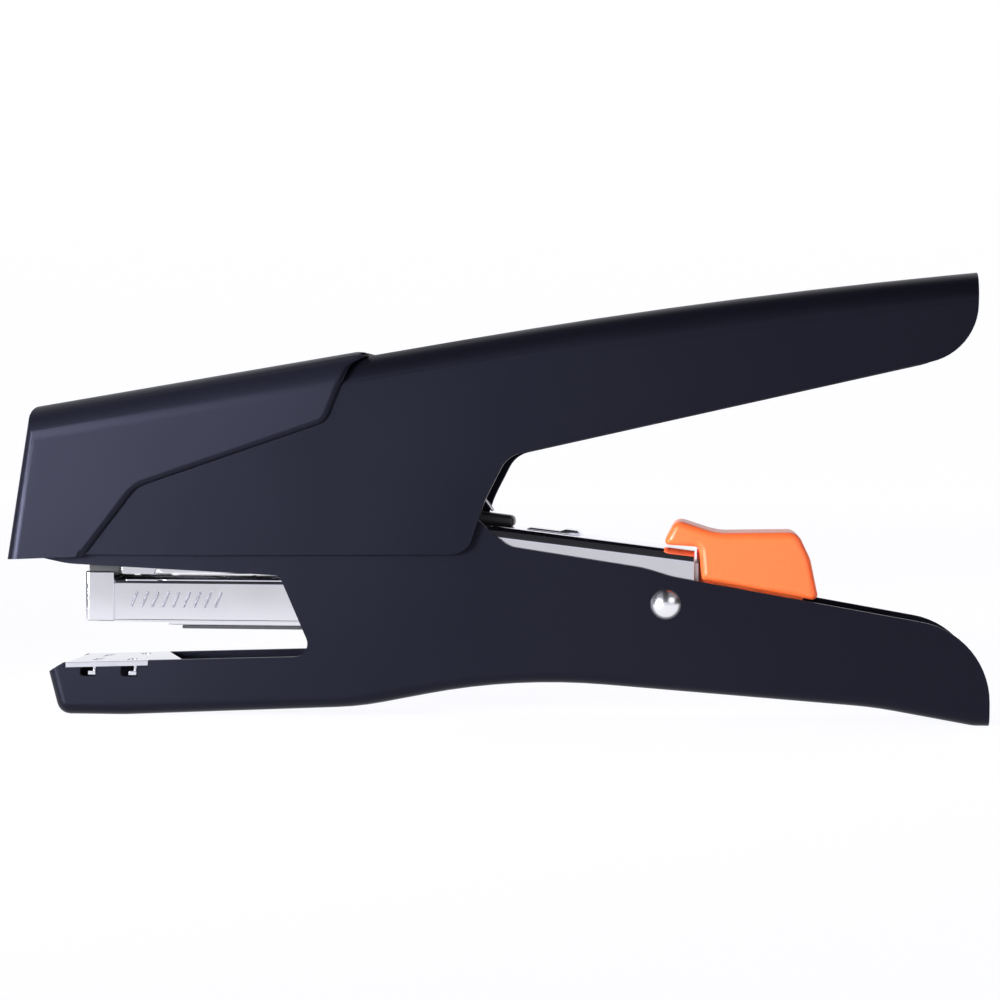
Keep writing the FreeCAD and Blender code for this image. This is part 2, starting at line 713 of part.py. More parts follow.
def magazine_sleeve():
    """Chromed channel around the staples, open below, hung on the rear rivets."""
    corners = [
        (SLEEVE_FRONT_X, MAGAZINE_TOP_Z),
        (MAGAZINE_REAR_X, MAGAZINE_TOP_Z),
        (MAGAZINE_REAR_X, MAGAZINE_BOTTOM_Z),
        (MAGAZINE_STEP_X, MAGAZINE_BOTTOM_Z, 0.3),
        (MAGAZINE_STEP_X - 0.3, MAGAZINE_MOUTH_Z, 0.2),
        (SLEEVE_FRONT_X, MAGAZINE_MOUTH_Z),
    ]
    sleeve = prism(corners, SLEEVE_HALF)

    def folded(middle):
        return on_side(middle, SLEEVE_HALF) and middle.z > MAGAZINE_TOP_Z - 0.01

    sleeve = round_edges(sleeve, SLEEVE_FOLD, folded)
    x = (SLEEVE_FRONT_X - 1, MAGAZINE_REAR_X + 1)
    inner = box(x, (-SLEEVE_INNER, SLEEVE_INNER), (5, MAGAZINE_TOP_Z - SLEEVE_WALL))
    bore = PIVOT_RADIUS + RUNNING_FIT
    return sleeve.cut(inner).cut(cross_pin(PIVOT_X, PIVOT_Z, bore, SLEEVE_HALF + 1))


def nose_plate():
    """Folded plate around the magazine's front that guides the blade."""
    half = SLEEVE_HALF + NOSE_PLATE_WALL
    x = (MAGAZINE_FRONT_X, MAGAZINE_FRONT_X + NOSE_PLATE_LENGTH)
    z = (MAGAZINE_MOUTH_Z + 0.1, NOSE_PLATE_TOP_Z)
    plate = box(x, (-half, half), z)

    def folded(middle):
        at_front = middle.x < MAGAZINE_FRONT_X + 0.01
        return on_side(middle, half) and at_front

    plate = round_edges(plate, 0.9, folded)
    behind = (MAGAZINE_FRONT_X + NOSE_PLATE_WALL, MAGAZINE_FRONT_X + NOSE_PLATE_LENGTH + 1)
    return plate.cut(box(behind, (-SLEEVE_HALF, SLEEVE_HALF), (5, NOSE_PLATE_TOP_Z + 1)))


def blade_guide():
    """Black plastic guide on the magazine's front, slotted for the blade."""
    front = MAGAZINE_FRONT_X + NOSE_PLATE_WALL
    x = (front, front + GUIDE_LENGTH)
    half = SLEEVE_HALF - 0.4
    guide = box(x, (-half, half), (MAGAZINE_TOP_Z, GUIDE_TOP_Z))
    slot_x = (front - 1, SLEEVE_FRONT_X)
    slot_half = BLADE_HALF + 0.2
    return guide.cut(box(slot_x, (-slot_half, slot_half), (5, GUIDE_TOP_Z + 1)))


def staple_rail():
    """Inverted channel that the staples ride on, slotted for the follower."""
    shelf = MAGAZINE_MOUTH_Z + 0.1
    rear = MAGAZINE_REAR_X - 2
    rail = prism([
        (RAIL_FRONT_X, RAIL_TOP_Z),
        (rear, RAIL_TOP_Z),
        (rear, MAGAZINE_BOTTOM_Z),
        (MAGAZINE_STEP_X + 3, MAGAZINE_BOTTOM_Z),
        (MAGAZINE_STEP_X + 2, shelf),
        (RAIL_FRONT_X, shelf),
    ], RAIL_HALF)
    x = (RAIL_FRONT_X - 1, rear + 1)
    hollow = box(x, (-RAIL_INNER, RAIL_INNER), (5, RAIL_TOP_Z - RAIL_WALL))
    slot_x = (RAIL_FRONT_X + 6.0, rear + 1)
    slot = box(slot_x, (-RAIL_SLOT_HALF, RAIL_SLOT_HALF), (5, RAIL_TOP_Z + 1))
    return rail.cut(hollow).cut(slot)


def magazine_base():
    """Dark strip that closes the sleeve below and carries the rail."""
    x = (MAGAZINE_STEP_X + 2.5, MAGAZINE_REAR_X)
    z = (MAGAZINE_BOTTOM_Z - BASE_WALL, MAGAZINE_BOTTOM_Z)
    return box(x, (-SLEEVE_HALF, SLEEVE_HALF), z)


DRIVER_SPRING_X = NOSE_X + 43.0
DRIVER_SPRING_RADIUS = 5.0


def driver_spring():
    """Coil spring between magazine and lever, as the tube that its wire fills."""
    low = MAGAZINE_TOP_Z + SPRING_GAP
    high = lever_z(DRIVER_SPRING_X + DRIVER_SPRING_RADIUS) - LEVER_WALL - SPRING_GAP
    start = Vector(DRIVER_SPRING_X, 0, low)
    inner = DRIVER_SPRING_RADIUS - 0.9
    return tube(start, Vector(0, 0, 1), DRIVER_SPRING_RADIUS, inner, high - low)


# ---- Pusher and follower --------------------------------------------------------------------------
PLATE_X = MAGAZINE_REAR_X + 0.5
PLATE_THICKNESS = 1.2
PLATE_TOP_Z = LEVER_REAR_Z - LEVER_WALL - 1.2
WEB_GAP = 0.4               # from the grip's web to the lever's rear end and the plate
RING_RADIUS = 2.8


def pusher_grip():
    """Orange finger grip behind the magazine, with the stem that holds the rod."""
    front = GRIP_FRONT_X
    rear = front + GRIP_LENGTH
    low_front = frame_top_z(front) + GRIP_LIFT
    low_rear = frame_top_z(rear) + GRIP_LIFT
    lip = front - GRIP_LIP
    grip = prism([
        (lip, GRIP_TOP_Z - 2.4, 0.8),
        (lip + 2.5, GRIP_TOP_Z + 2.5, 2.0),
        (front + 3.0, GRIP_TOP_Z - 0.1, 12),
        (rear - 4.2, GRIP_TOP_Z + 0.2, 2.6),
        (rear - 1.7, GRIP_TOP_Z - 5.0, 6),
        (rear, low_rear, 1.0),
        (front, low_front, 0.8),
        (front - 0.6, GRIP_TOP_Z - 2.8, 1.0),
    ], GRIP_HALF)

    def rim(middle):
        outer = middle.z > GRIP_TOP_Z - 2.0 or middle.x > rear - 4.5
        return on_side(middle, GRIP_HALF) and outer

    grip = round_edges(grip, 1.5, rim)
    stem_half = FRAME_INNER - 2.6
    stem_x = (PLATE_X + PLATE_THICKNESS, rear - 3)
    stem = box(stem_x, (-stem_half, stem_half), (ROD_Z - 3.0, low_rear + 4))
    web_half = stem_half - 1.5
    web_x = (LEVER_REAR_X + WEB_GAP, front + 2)
    web = box(web_x, (-web_half, web_half), (PLATE_TOP_Z + WEB_GAP, LEVER_REAR_Z))
    web_foot_x = (PLATE_X + PLATE_THICKNESS, front + 2)
    web = web.fuse(box(web_foot_x, (-web_half, web_half), (ROD_Z, PLATE_TOP_Z + 1)))
    return grip.fuse(stem).fuse(web).removeSplitter()


def rod_plate():
    """Steel plate on the stem's front that closes the magazine's rear."""
    x = (PLATE_X, PLATE_X + PLATE_THICKNESS)
    plate = box(x, (-SADDLE_HALF, SADDLE_HALF), (ROD_Z - 3.0, PLATE_TOP_Z))
    bore_start = Vector(PLATE_X - 1, 0, ROD_Z)
    bore = Part.makeCylinder(ROD_RADIUS + SEAT_FIT, PLATE_THICKNESS + 2, bore_start, Vector(1, 0, 0))
    return plate.cut(bore)


def pusher_rod():
    """Rod through the rail that guides the follower and its spring."""
    front = RAIL_FRONT_X + 6.4
    length = PLATE_X + PLATE_THICKNESS - front
    return Part.makeCylinder(ROD_RADIUS, length, Vector(front, 0, ROD_Z), Vector(1, 0, 0))


def latch_spring():
    """Bent leaf on the rod plate whose legs grip the inside of the rail."""
    leg = 0.5
    half = RAIL_INNER - 0.35
    x = (PLATE_X - 14, PLATE_X)
    z = (ROD_Z - 2.4, ROD_Z + 2.4)
    clip = box(x, (-half, half), z)
    return clip.cut(box((x[0] - 1, x[1] - leg), (-half + leg, half - leg), z)).cut(
        Part.makeCylinder(ROD_RADIUS + SEAT_FIT, 20, Vector(x[0], 0, ROD_Z), Vector(1, 0, 0)))


def follower_block():
    """Saddle that pushes the staples forward, guided by the rod."""
    front = RAIL_FRONT_X + 0.3
    rear = front + FOLLOWER_LENGTH
    top = MAGAZINE_TOP_Z - SLEEVE_WALL - 0.2
    rail_gap = 0.2
    x = (front, rear)
    saddle = box(x, (-SADDLE_HALF, SADDLE_HALF), (MAGAZINE_MOUTH_Z + 0.3, top))
    inner_half = RAIL_HALF + rail_gap
    saddle = saddle.cut(box((front - 1, rear + 1), (-inner_half, inner_half), (5, RAIL_TOP_Z + rail_gap)))
    web_x = (RAIL_FRONT_X + 6.4, rear)
    web_half = RAIL_SLOT_HALF - rail_gap
    web = box(web_x, (-web_half, web_half), (ROD_Z, RAIL_TOP_Z + rail_gap + 0.1))
    ring_start = Vector(web_x[0], 0, ROD_Z)
    along = Vector(1, 0, 0)
    ring = Part.makeCylinder(RING_RADIUS, rear - web_x[0], ring_start, along)
    block = saddle.fuse(web).fuse(ring).removeSplitter()
    bore_start = Vector(front, 0, ROD_Z)
    return block.cut(Part.makeCylinder(ROD_RADIUS + RUNNING_FIT, FOLLOWER_LENGTH + 1, bore_start, along))


def follower_spring():
    """Long coil spring on the rod, as the tube that its wire fills."""
    front = RAIL_FRONT_X + 0.3 + FOLLOWER_LENGTH + SPRING_GAP
    rear = PLATE_X - 0.5 - SPRING_GAP
    start = Vector(front, 0, ROD_Z)
    return tube(start, Vector(1, 0, 0), 2.4, 1.8, rear - front)


ROLLER_Z = lever_z(ROLLER_X) + (ROLLER_RADIUS + ROLLER_GAP) / math.cos(math.radians(LEVER_SLOPE))

PIECES = [
    frame_shell, anvil_plate, nose_pin, nose_spacer, pivot_rivets, stop_pin,
    spring_seat, lift_spring,
    handle_shell, nose_cover, roller_bracket, roller_pin, pressure_roller,
    driver_lever, blade_holder, blade_rivets, driver_blade, lever_bumper,
    magazine_sleeve, nose_plate, blade_guide, staple_rail, magazine_base, driver_spring,
    pusher_grip, rod_plate, pusher_rod, latch_spring, follower_spring,
    follower_block,
]

os.makedirs("parts", exist_ok=True)
for piece in PIECES:
    shape = piece()
    shape.exportStep(os.path.join("parts", piece.__name__ + ".step"))
    print(piece.__name__, shape.isValid(), len(shape.Solids), round(shape.Volume, 1))
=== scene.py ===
"""Plier stapler: dressed meshes, finishes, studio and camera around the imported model."""
import json
import logging
import math
from dataclasses import dataclass, field
from enum import Enum
from typing import Any, Callable, Iterable

import bmesh
import bpy
from mathutils import Matrix, Vector


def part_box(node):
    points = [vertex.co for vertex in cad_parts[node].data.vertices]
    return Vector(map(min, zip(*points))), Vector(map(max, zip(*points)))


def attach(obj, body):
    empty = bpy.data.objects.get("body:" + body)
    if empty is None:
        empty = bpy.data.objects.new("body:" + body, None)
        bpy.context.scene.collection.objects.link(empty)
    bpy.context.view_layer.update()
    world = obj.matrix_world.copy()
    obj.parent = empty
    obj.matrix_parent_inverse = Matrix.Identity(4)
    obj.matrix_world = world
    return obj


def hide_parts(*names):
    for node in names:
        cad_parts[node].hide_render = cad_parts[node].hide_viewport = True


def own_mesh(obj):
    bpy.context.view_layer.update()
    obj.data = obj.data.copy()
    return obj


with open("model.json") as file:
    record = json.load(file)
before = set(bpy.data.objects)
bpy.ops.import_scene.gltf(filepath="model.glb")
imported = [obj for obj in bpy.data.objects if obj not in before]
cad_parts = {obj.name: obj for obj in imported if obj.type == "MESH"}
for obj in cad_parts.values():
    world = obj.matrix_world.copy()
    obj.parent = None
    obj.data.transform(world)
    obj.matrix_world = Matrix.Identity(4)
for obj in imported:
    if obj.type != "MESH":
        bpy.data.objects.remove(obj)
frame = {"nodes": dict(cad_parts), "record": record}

MM = 0.001
SCATTER_DEPTH = 1.5 * MM
LOG = logging.getLogger("plier_stapler")


# ---------------------------------------------------------------------------
# Shared shader effects
# ---------------------------------------------------------------------------
class TreeWriter:
    """Adds nodes and links to one node tree."""

    def __init__(self, tree: bpy.types.NodeTree) -> None:
        """Starts on a tree."""
        self.tree = tree

    def node(self, kind: str, **settings: Any) -> bpy.types.Node:
        """Adds a node and sets its properties.

        Args:
            kind: The node's type name.
            **settings: Property values.

        Returns:
            The new node.
        """
        made = self.tree.nodes.new(kind)
        for key, value in settings.items():
            setattr(made, key, value)
        return made

    def link(self, source: bpy.types.NodeSocket, target: bpy.types.NodeSocket) -> None:
        """Joins two sockets."""
        self.tree.links.new(source, target)

    def feed(self, target: bpy.types.NodeSocket, value: Any) -> None:
        """Links a socket to an input, or sets the input to a plain value.

        Args:
            target: The input.
            value: A socket, or a value of the input's own kind.
        """
        if isinstance(value, bpy.types.NodeSocket):
            self.link(value, target)
        else:
            target.default_value = value

    def math(self, operation: str, first: Any, second: Any) -> bpy.types.NodeSocket:
        """Adds a math node.

        Args:
            operation: The math node's operation.
            first: A socket or a number.
            second: A socket or a number.

        Returns:
            The node's result.
        """
        made = self.node("ShaderNodeMath", operation=operation)
        self.feed(made.inputs[0], first)
        self.feed(made.inputs[1], second)
        return made.outputs[0]

    def remap(self, value: bpy.types.NodeSocket, source: tuple[float, float],
              target: tuple[Any, Any] = (0.0, 1.0), **settings: Any) -> bpy.types.NodeSocket:
        """Adds a clamped map from one range to another.

        Args:
            value: The running value.
            source: The range it comes from.
            target: The range it goes to, as numbers or sockets.
            **settings: Property values.

        Returns:
            The node's result.
        """
        made = self.node("ShaderNodeMapRange", clamp=True, **settings)
        self.feed(made.inputs["Value"], value)
        for label, end in zip(("From Min", "From Max", "To Min", "To Max"), (*source, *target)):
            self.feed(made.inputs[label], end)
        return made.outputs["Result"]

    def mix(self, factor: bpy.types.NodeSocket, first: Any, second: Any) -> bpy.types.NodeSocket:
        """Mixes two colours.

        Args:
            factor: How much of the second colour.
            first: A colour or a socket.
            second: A colour or a socket.

        Returns:
            The node's result.
        """
        made = self.node("ShaderNodeMix", data_type="RGBA")
        self.link(factor, made.inputs["Factor"])
        self.feed(made.inputs["A"], first)
        self.feed(made.inputs["B"], second)
        return made.outputs["Result"]


class GroupBuilder(TreeWriter):
    """Builds one shader node group with named sockets."""

    def __init__(self, name: str, inputs: dict[str, float], outputs: Iterable[str]) -> None:
        """Starts a group of float inputs and float outputs.

        Args:
            name: The group's name.
            inputs: Input names and their usual values.
            outputs: Output names.
        """
        super().__init__(bpy.data.node_groups.new(name, "ShaderNodeTree"))
        sockets = self.tree.interface
        for label, value in inputs.items():
            socket = sockets.new_socket(label, in_out="INPUT", socket_type="NodeSocketFloat")
            socket.default_value = value
        for label in outputs:
            sockets.new_socket(label, in_out="OUTPUT", socket_type="NodeSocketFloat")
        self.entry = self.node("NodeGroupInput")
        self.exit = self.node("NodeGroupOutput")


def build_grain_group() -> bpy.types.NodeTree:
    """Fine surface grain: a height for bump and a slow patchiness for colour.

    Returns:
        The group, with inputs Scale, Detail and Patch Scale.
    """
    maker = GroupBuilder("surface_grain", {"Scale": 2500.0, "Detail": 2.0, "Patch Scale": 60.0},
                         ("Height", "Patch"))
    place = maker.node("ShaderNodeTexCoord")
    fine = maker.node("ShaderNodeTexNoise")
    maker.link(place.outputs["Object"], fine.inputs["Vector"])
    maker.link(maker.entry.outputs["Scale"], fine.inputs["Scale"])
    maker.link(maker.entry.outputs["Detail"], fine.inputs["Detail"])
    slow = maker.node("ShaderNodeTexNoise")
    maker.link(place.outputs["Object"], slow.inputs["Vector"])
    maker.link(maker.entry.outputs["Patch Scale"], slow.inputs["Scale"])
    maker.link(fine.outputs["Fac"], maker.exit.inputs["Height"])
    maker.link(slow.outputs["Fac"], maker.exit.inputs["Patch"])
    return maker.tree


def build_scratch_group() -> bpy.types.NodeTree:
    """Hairline polishing marks that run along X.

    Returns:
        The group, with inputs Along, Across and Depth, and output Height.
    """
    maker = GroupBuilder("polish_marks", {"Along": 30.0, "Across": 4000.0, "Depth": 1.0},
                         ("Height",))
    place = maker.node("ShaderNodeTexCoord")
    stretch = maker.node("ShaderNodeCombineXYZ")
    maker.link(maker.entry.outputs["Along"], stretch.inputs["X"])
    maker.link(maker.entry.outputs["Across"], stretch.inputs["Y"])
    maker.link(maker.entry.outputs["Across"], stretch.inputs["Z"])
    scaled = maker.node("ShaderNodeVectorMath", operation="MULTIPLY")
    maker.link(place.outputs["Object"], scaled.inputs[0])
    maker.link(stretch.outputs["Vector"], scaled.inputs[1])
    noise = maker.node("ShaderNodeTexNoise")
    noise.inputs["Scale"].default_value = 1.0
    noise.inputs["Detail"].default_value = 3.0
    maker.link(scaled.outputs["Vector"], noise.inputs["Vector"])
    height = maker.math("MULTIPLY", noise.outputs["Fac"], maker.entry.outputs["Depth"])
    maker.link(height, maker.exit.inputs["Height"])
    return maker.tree


def build_wear_group() -> bpy.types.NodeTree:
    """Edge wear: a mask that is high on proud edges, broken up by noise.

    Returns:
        The group, with inputs Amount and Break Scale, and output Mask.
    """
    maker = GroupBuilder("edge_wear", {"Amount": 0.5, "Break Scale": 900.0}, ("Mask",))
    geometry = maker.node("ShaderNodeNewGeometry")
    proud = maker.remap(geometry.outputs["Pointiness"], (0.57, 0.72))
    place = maker.node("ShaderNodeTexCoord")
    noise = maker.node("ShaderNodeTexNoise")
    maker.link(place.outputs["Object"], noise.inputs["Vector"])
    maker.link(maker.entry.outputs["Break Scale"], noise.inputs["Scale"])
    broken = maker.math("MULTIPLY", proud, noise.outputs["Fac"])
    mask = maker.math("MULTIPLY", broken, maker.entry.outputs["Amount"])
    maker.link(mask, maker.exit.inputs["Mask"])
    return maker.tree


@dataclass
class SharedEffects:
    """The node groups that several finishes place in their materials."""

    grain: bpy.types.NodeTree = field(default_factory=build_grain_group)
    marks: bpy.types.NodeTree = field(default_factory=build_scratch_group)
    wear: bpy.types.NodeTree = field(default_factory=build_wear_group)


# ---------------------------------------------------------------------------
# Finishes
# ---------------------------------------------------------------------------
class Texture(Enum):
    """What the surface of a finish looks like close up."""

    GRAIN = "grain"
    MARKS = "marks"


Colour = tuple[float, float, float]
Point = tuple[float, float, float]


@dataclass(frozen=True)
class Finish:
    """A procedural finish; colours are linear."""

    name: str
    colour: Colour
    second: Colour
    roughness: float
    metallic: float = 0.0
    ior: float = 1.5
    coat: float = 0.0
    coat_roughness: float = 0.1
    scatter: float = 0.0
    texture: Texture = Texture.GRAIN
    bump: float = 0.1
    bump_depth: float = 0.02
    scale: float = 2500.0
    patch_scale: float = 60.0
    rough_swing: float = 0.05
    wear: float = 0.0
    wear_colour: Colour = (0.3, 0.3, 0.3)
    specular_tint: Colour = (1.0, 1.0, 1.0)

    def build(self, effects: SharedEffects) -> bpy.types.Material:
        """Makes the material.

        Args:
            effects: The shared node groups.

        Returns:
            The material.
        """
        material = bpy.data.materials.new(self.name)
        material.use_nodes = True
        write = TreeWriter(material.node_tree)
        shader = material.node_tree.nodes["Principled BSDF"]
        plain = {"Metallic": self.metallic, "IOR": self.ior,
                 "Specular Tint": (*self.specular_tint, 1.0),
                 "Coat Weight": self.coat, "Coat Roughness": self.coat_roughness}
        if self.scatter:
            plain |= {"Subsurface Weight": self.scatter, "Subsurface Scale": SCATTER_DEPTH}
        for label, value in plain.items():
            shader.inputs[label].default_value = value

        grain = write.node("ShaderNodeGroup", node_tree=effects.grain)
        grain.inputs["Scale"].default_value = self.scale
        grain.inputs["Patch Scale"].default_value = self.patch_scale
        patch = grain.outputs["Patch"]
        tint = write.mix(patch, (*self.colour, 1.0), (*self.second, 1.0))
        if self.wear:
            wear = write.node("ShaderNodeGroup", node_tree=effects.wear)
            wear.inputs["Amount"].default_value = self.wear
            tint = write.mix(wear.outputs["Mask"], tint, (*self.wear_colour, 1.0))
        write.link(tint, shader.inputs["Base Color"])

        spread = (self.roughness - self.rough_swing, self.roughness + self.rough_swing)
        write.link(write.remap(patch, (0.0, 1.0), spread), shader.inputs["Roughness"])

        height = grain.outputs["Height"]
        if self.texture is Texture.MARKS:
            height = write.node("ShaderNodeGroup", node_tree=effects.marks).outputs["Height"]
        bump = write.node("ShaderNodeBump")
        bump.inputs["Strength"].default_value = self.bump
        bump.inputs["Distance"].default_value = self.bump_depth * MM
        write.link(height, bump.inputs["Height"])
        write.link(bump.outputs["Normal"], shader.inputs["Normal"])
        return material


BLACK_PAINT = Finish(
    "black_stoved_paint", (0.0028, 0.0029, 0.0052), (0.0034, 0.0035, 0.0062), 0.36, ior=1.285,
    bump=0.35, bump_depth=0.03, scale=1400.0, patch_scale=35.0, specular_tint=(0.66, 0.67, 1.0))
COVER_PLASTIC = Finish(
    "matt_cover_plastic", (0.0050, 0.0050, 0.0090), (0.0062, 0.0062, 0.0110), 0.43, ior=1.30,
    bump=0.5, bump_depth=0.04, scale=2600.0, patch_scale=40.0, specular_tint=(0.68, 0.69, 1.0))
CHROME = Finish(
    "bright_plating", (0.80, 0.80, 0.86), (0.86, 0.86, 0.91), 0.10, metallic=1.0,
    texture=Texture.MARKS, bump=0.12, bump_depth=0.01, rough_swing=0.03, patch_scale=120.0)
FORMED_CHROME = Finish(
    "formed_plating", (0.60, 0.61, 0.67), (0.70, 0.70, 0.76), 0.16, metallic=1.0,
    texture=Texture.MARKS, bump=0.2, bump_depth=0.015, rough_swing=0.05, patch_scale=300.0)
# Painted shade: a flat dark grey on the raised bars stands in for the shadow inside pressed
# lettering. It is not a colour the plating has.
PAINTED_SHADE_MARKS = Finish(
    "stamped_marks_painted_shade", (0.17, 0.17, 0.20), (0.22, 0.22, 0.25), 0.6, ior=1.3,
    bump=0.2, bump_depth=0.01, scale=3000.0)
DOME_CHROME = Finish(
    "polished_rivet", (0.82, 0.82, 0.85), (0.88, 0.88, 0.90), 0.24, metallic=1.0,
    bump=0.08, bump_depth=0.01, scale=3000.0, rough_swing=0.02)
STEEL = Finish(
    "turned_steel", (0.50, 0.50, 0.52), (0.60, 0.60, 0.62), 0.28, metallic=1.0,
    texture=Texture.MARKS, bump=0.3, bump_depth=0.02)
ZINC = Finish(
    "zinc_plated_steel", (0.52, 0.53, 0.55), (0.62, 0.62, 0.60), 0.34, metallic=1.0,
    bump=0.25, bump_depth=0.02, scale=1800.0, patch_scale=220.0, rough_swing=0.09)
BLADE = Finish(
    "ground_blade_steel", (0.42, 0.42, 0.45), (0.50, 0.50, 0.52), 0.22, metallic=1.0,
    texture=Texture.MARKS, bump=0.35, bump_depth=0.02)
SPRING = Finish(
    "oiled_spring_wire", (0.24, 0.24, 0.26), (0.33, 0.33, 0.34), 0.25, metallic=1.0,
    bump=0.2, bump_depth=0.01, scale=3000.0, coat=0.3)
BLACKENED = Finish(
    "blackened_steel", (0.012, 0.012, 0.016), (0.020, 0.020, 0.024), 0.33, ior=1.6,
    bump=0.25, bump_depth=0.02, scale=2200.0, wear=0.4, wear_colour=(0.12, 0.12, 0.12))
BLACK_PLASTIC = Finish(
    "black_guide_plastic", (0.010, 0.010, 0.012), (0.014, 0.014, 0.016), 0.38,
    bump=0.3, bump_depth=0.02, scale=2600.0)
ORANGE = Finish(
    "orange_moulded_plastic", (0.88, 0.134, 0.031), (0.90, 0.146, 0.036), 0.33, ior=1.46,
    scatter=0.25, bump=0.18, bump_depth=0.02, scale=3200.0, patch_scale=25.0, rough_swing=0.03)
RUBBER = Finish(
    "black_rubber", (0.012, 0.012, 0.013), (0.018, 0.018, 0.019), 0.45,
    bump=0.4, bump_depth=0.03, scale=1800.0)


# ---------------------------------------------------------------------------
# Mesh tools
# ---------------------------------------------------------------------------
EdgeTest = Callable[[bmesh.types.BMEdge], bool]
MERGE_REACH = 1e-6                  # corners closer than this become one
SLIVER_REACH = 2e-6                 # shorter edges are closed up
COPLANAR = math.radians(0.3)        # faces that differ less are joined
SOFTEN_ABOVE = math.radians(32)     # edges that turn more are rounded
FLAT_AREA = 60.0 * MM * MM          # faces above this size are shaded quite flat
RIM_PROFILE = 0.38                  # between a plain bevel and a round
FLAT_FIRST = 100                    # how strongly a large face sets its corners' normals


def plain_mesh(obj: bpy.types.Object) -> bpy.types.Mesh:
    """The object's evaluated result as a plain mesh.

    Args:
        obj: The object, with its modifiers live.

    Returns:
        A new mesh that no modifier acts on.
    """
    bpy.context.view_layer.update()
    graph = bpy.context.evaluated_depsgraph_get()
    return bpy.data.meshes.new_from_object(obj.evaluated_get(graph), depsgraph=graph)


def link_piece(name: str, mesh: bpy.types.Mesh) -> bpy.types.Object:
    """Puts a mesh into the scene as an object at the origin."""
    obj = bpy.data.objects.new(name, mesh)
    bpy.context.scene.collection.objects.link(obj)
    return obj


def closed_mesh(name: str, bm: bmesh.types.BMesh) -> bpy.types.Mesh:
    """Turns the mesh being worked on into a named, smooth-shaded mesh and frees it."""
    mesh = bpy.data.meshes.new(name)
    bm.to_mesh(mesh)
    bm.free()
    mesh.shade_smooth()
    return mesh


def round_chosen(bm: bmesh.types.BMesh, chosen: EdgeTest, width: float, steps: int) -> None:
    """Rounds the edges that pass a test.

    Args:
        bm: The mesh being worked on.
        chosen: The test for each edge.
        width: How far the rounding reaches, in metres.
        steps: Segments in the rounding.
    """
    edges = [edge for edge in bm.edges if chosen(edge)]
    bmesh.ops.bevel(bm, geom=edges, offset=width, segments=steps, profile=RIM_PROFILE,
                    affect="EDGES", clamp_overlap=False)
    LOG.info("rounded rim: %d edges", len(edges))


def flatten_normals(mesh: bpy.types.Mesh) -> None:
    """Gives every corner of a large flat face the face's own normal."""
    normals = [Vector(corner.vector) for corner in mesh.corner_normals]
    for face in mesh.polygons:
        if face.area > FLAT_AREA:
            for index in face.loop_indices:
                normals[index] = Vector(face.normal)
    mesh.normals_split_custom_set(normals)


def sharp(edge: bmesh.types.BMEdge, degrees: float) -> bool:
    """Whether an edge turns outwards by more than the angle."""
    return edge.is_manifold and edge.calc_face_angle_signed(0.0) > math.radians(degrees)


@dataclass(frozen=True)
class Refined:
    """A dressed copy of one CAD node, with its sharp edges softened."""

    node: str
    soften: float = 0.2 * MM
    steps: int = 2
    rim: EdgeTest | None = None
    rim_width: float = 1.0 * MM
    rim_steps: int = 5

    def merged(self) -> bmesh.types.BMesh:
        """Copies the node's loose triangles and joins them into whole faces.

        Returns:
            The merged mesh, with its rim rounded where the plan has one.
        """
        bm = bmesh.new()
        bm.from_mesh(frame["nodes"][self.node].data)
        bmesh.ops.remove_doubles(bm, verts=bm.verts, dist=MERGE_REACH)
        bmesh.ops.dissolve_degenerate(bm, dist=SLIVER_REACH, edges=bm.edges)
        bmesh.ops.dissolve_limit(bm, angle_limit=COPLANAR, verts=bm.verts, edges=bm.edges)
        if self.rim is not None:
            round_chosen(bm, self.rim, self.rim_width, self.rim_steps)
        return bm

    def make(self) -> bpy.types.Object:
        """Merges and rounds a copy of the node's mesh.

        Returns:
            The dressed object, which stands for the node and rides on its body.
        """
        name = self.node + "_dressed"
        obj = link_piece(name, closed_mesh(name, self.merged()))
        bevel = obj.modifiers.new("soften", "BEVEL")
        bevel.width = self.soften
        bevel.segments = self.steps
        bevel.limit_method = "ANGLE"
        bevel.angle_limit = SOFTEN_ABOVE
        bevel.miter_outer = "MITER_ARC"
        bevel.harden_normals = True
        weight = obj.modifiers.new("flat_faces_first", "WEIGHTED_NORMAL")
        weight.keep_sharp = True
        weight.weight = FLAT_FIRST
        finished = plain_mesh(obj)
        flatten_normals(finished)
        obj.modifiers.clear()
        obj.data = finished
        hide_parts(self.node)
        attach(obj, body_of(self.node))
        return obj


def body_of(node: str) -> str:
    """The CAD body that a node belongs to."""
    bodies = frame["record"]["behaviour"]["bodies"]
    return next(name for name, members in bodies.items() if node in members)


def slot_of(node: str) -> str:
    """The record's material slot of a node."""
    return next(s["material_slot"] for s in frame["record"]["subparts"] if s["node"] == node)


def add_on(obj: bpy.types.Object, node: str) -> bpy.types.Object:
    """Fixes an extra piece to a CAD node's body and reports it.

    Args:
        obj: The piece.
        node: The node that it stands on.

    Returns:
        The piece.
    """
    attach(obj, body_of(node))
    LOG.info("%s: %d faces", obj.name, len(obj.data.polygons))
    return obj


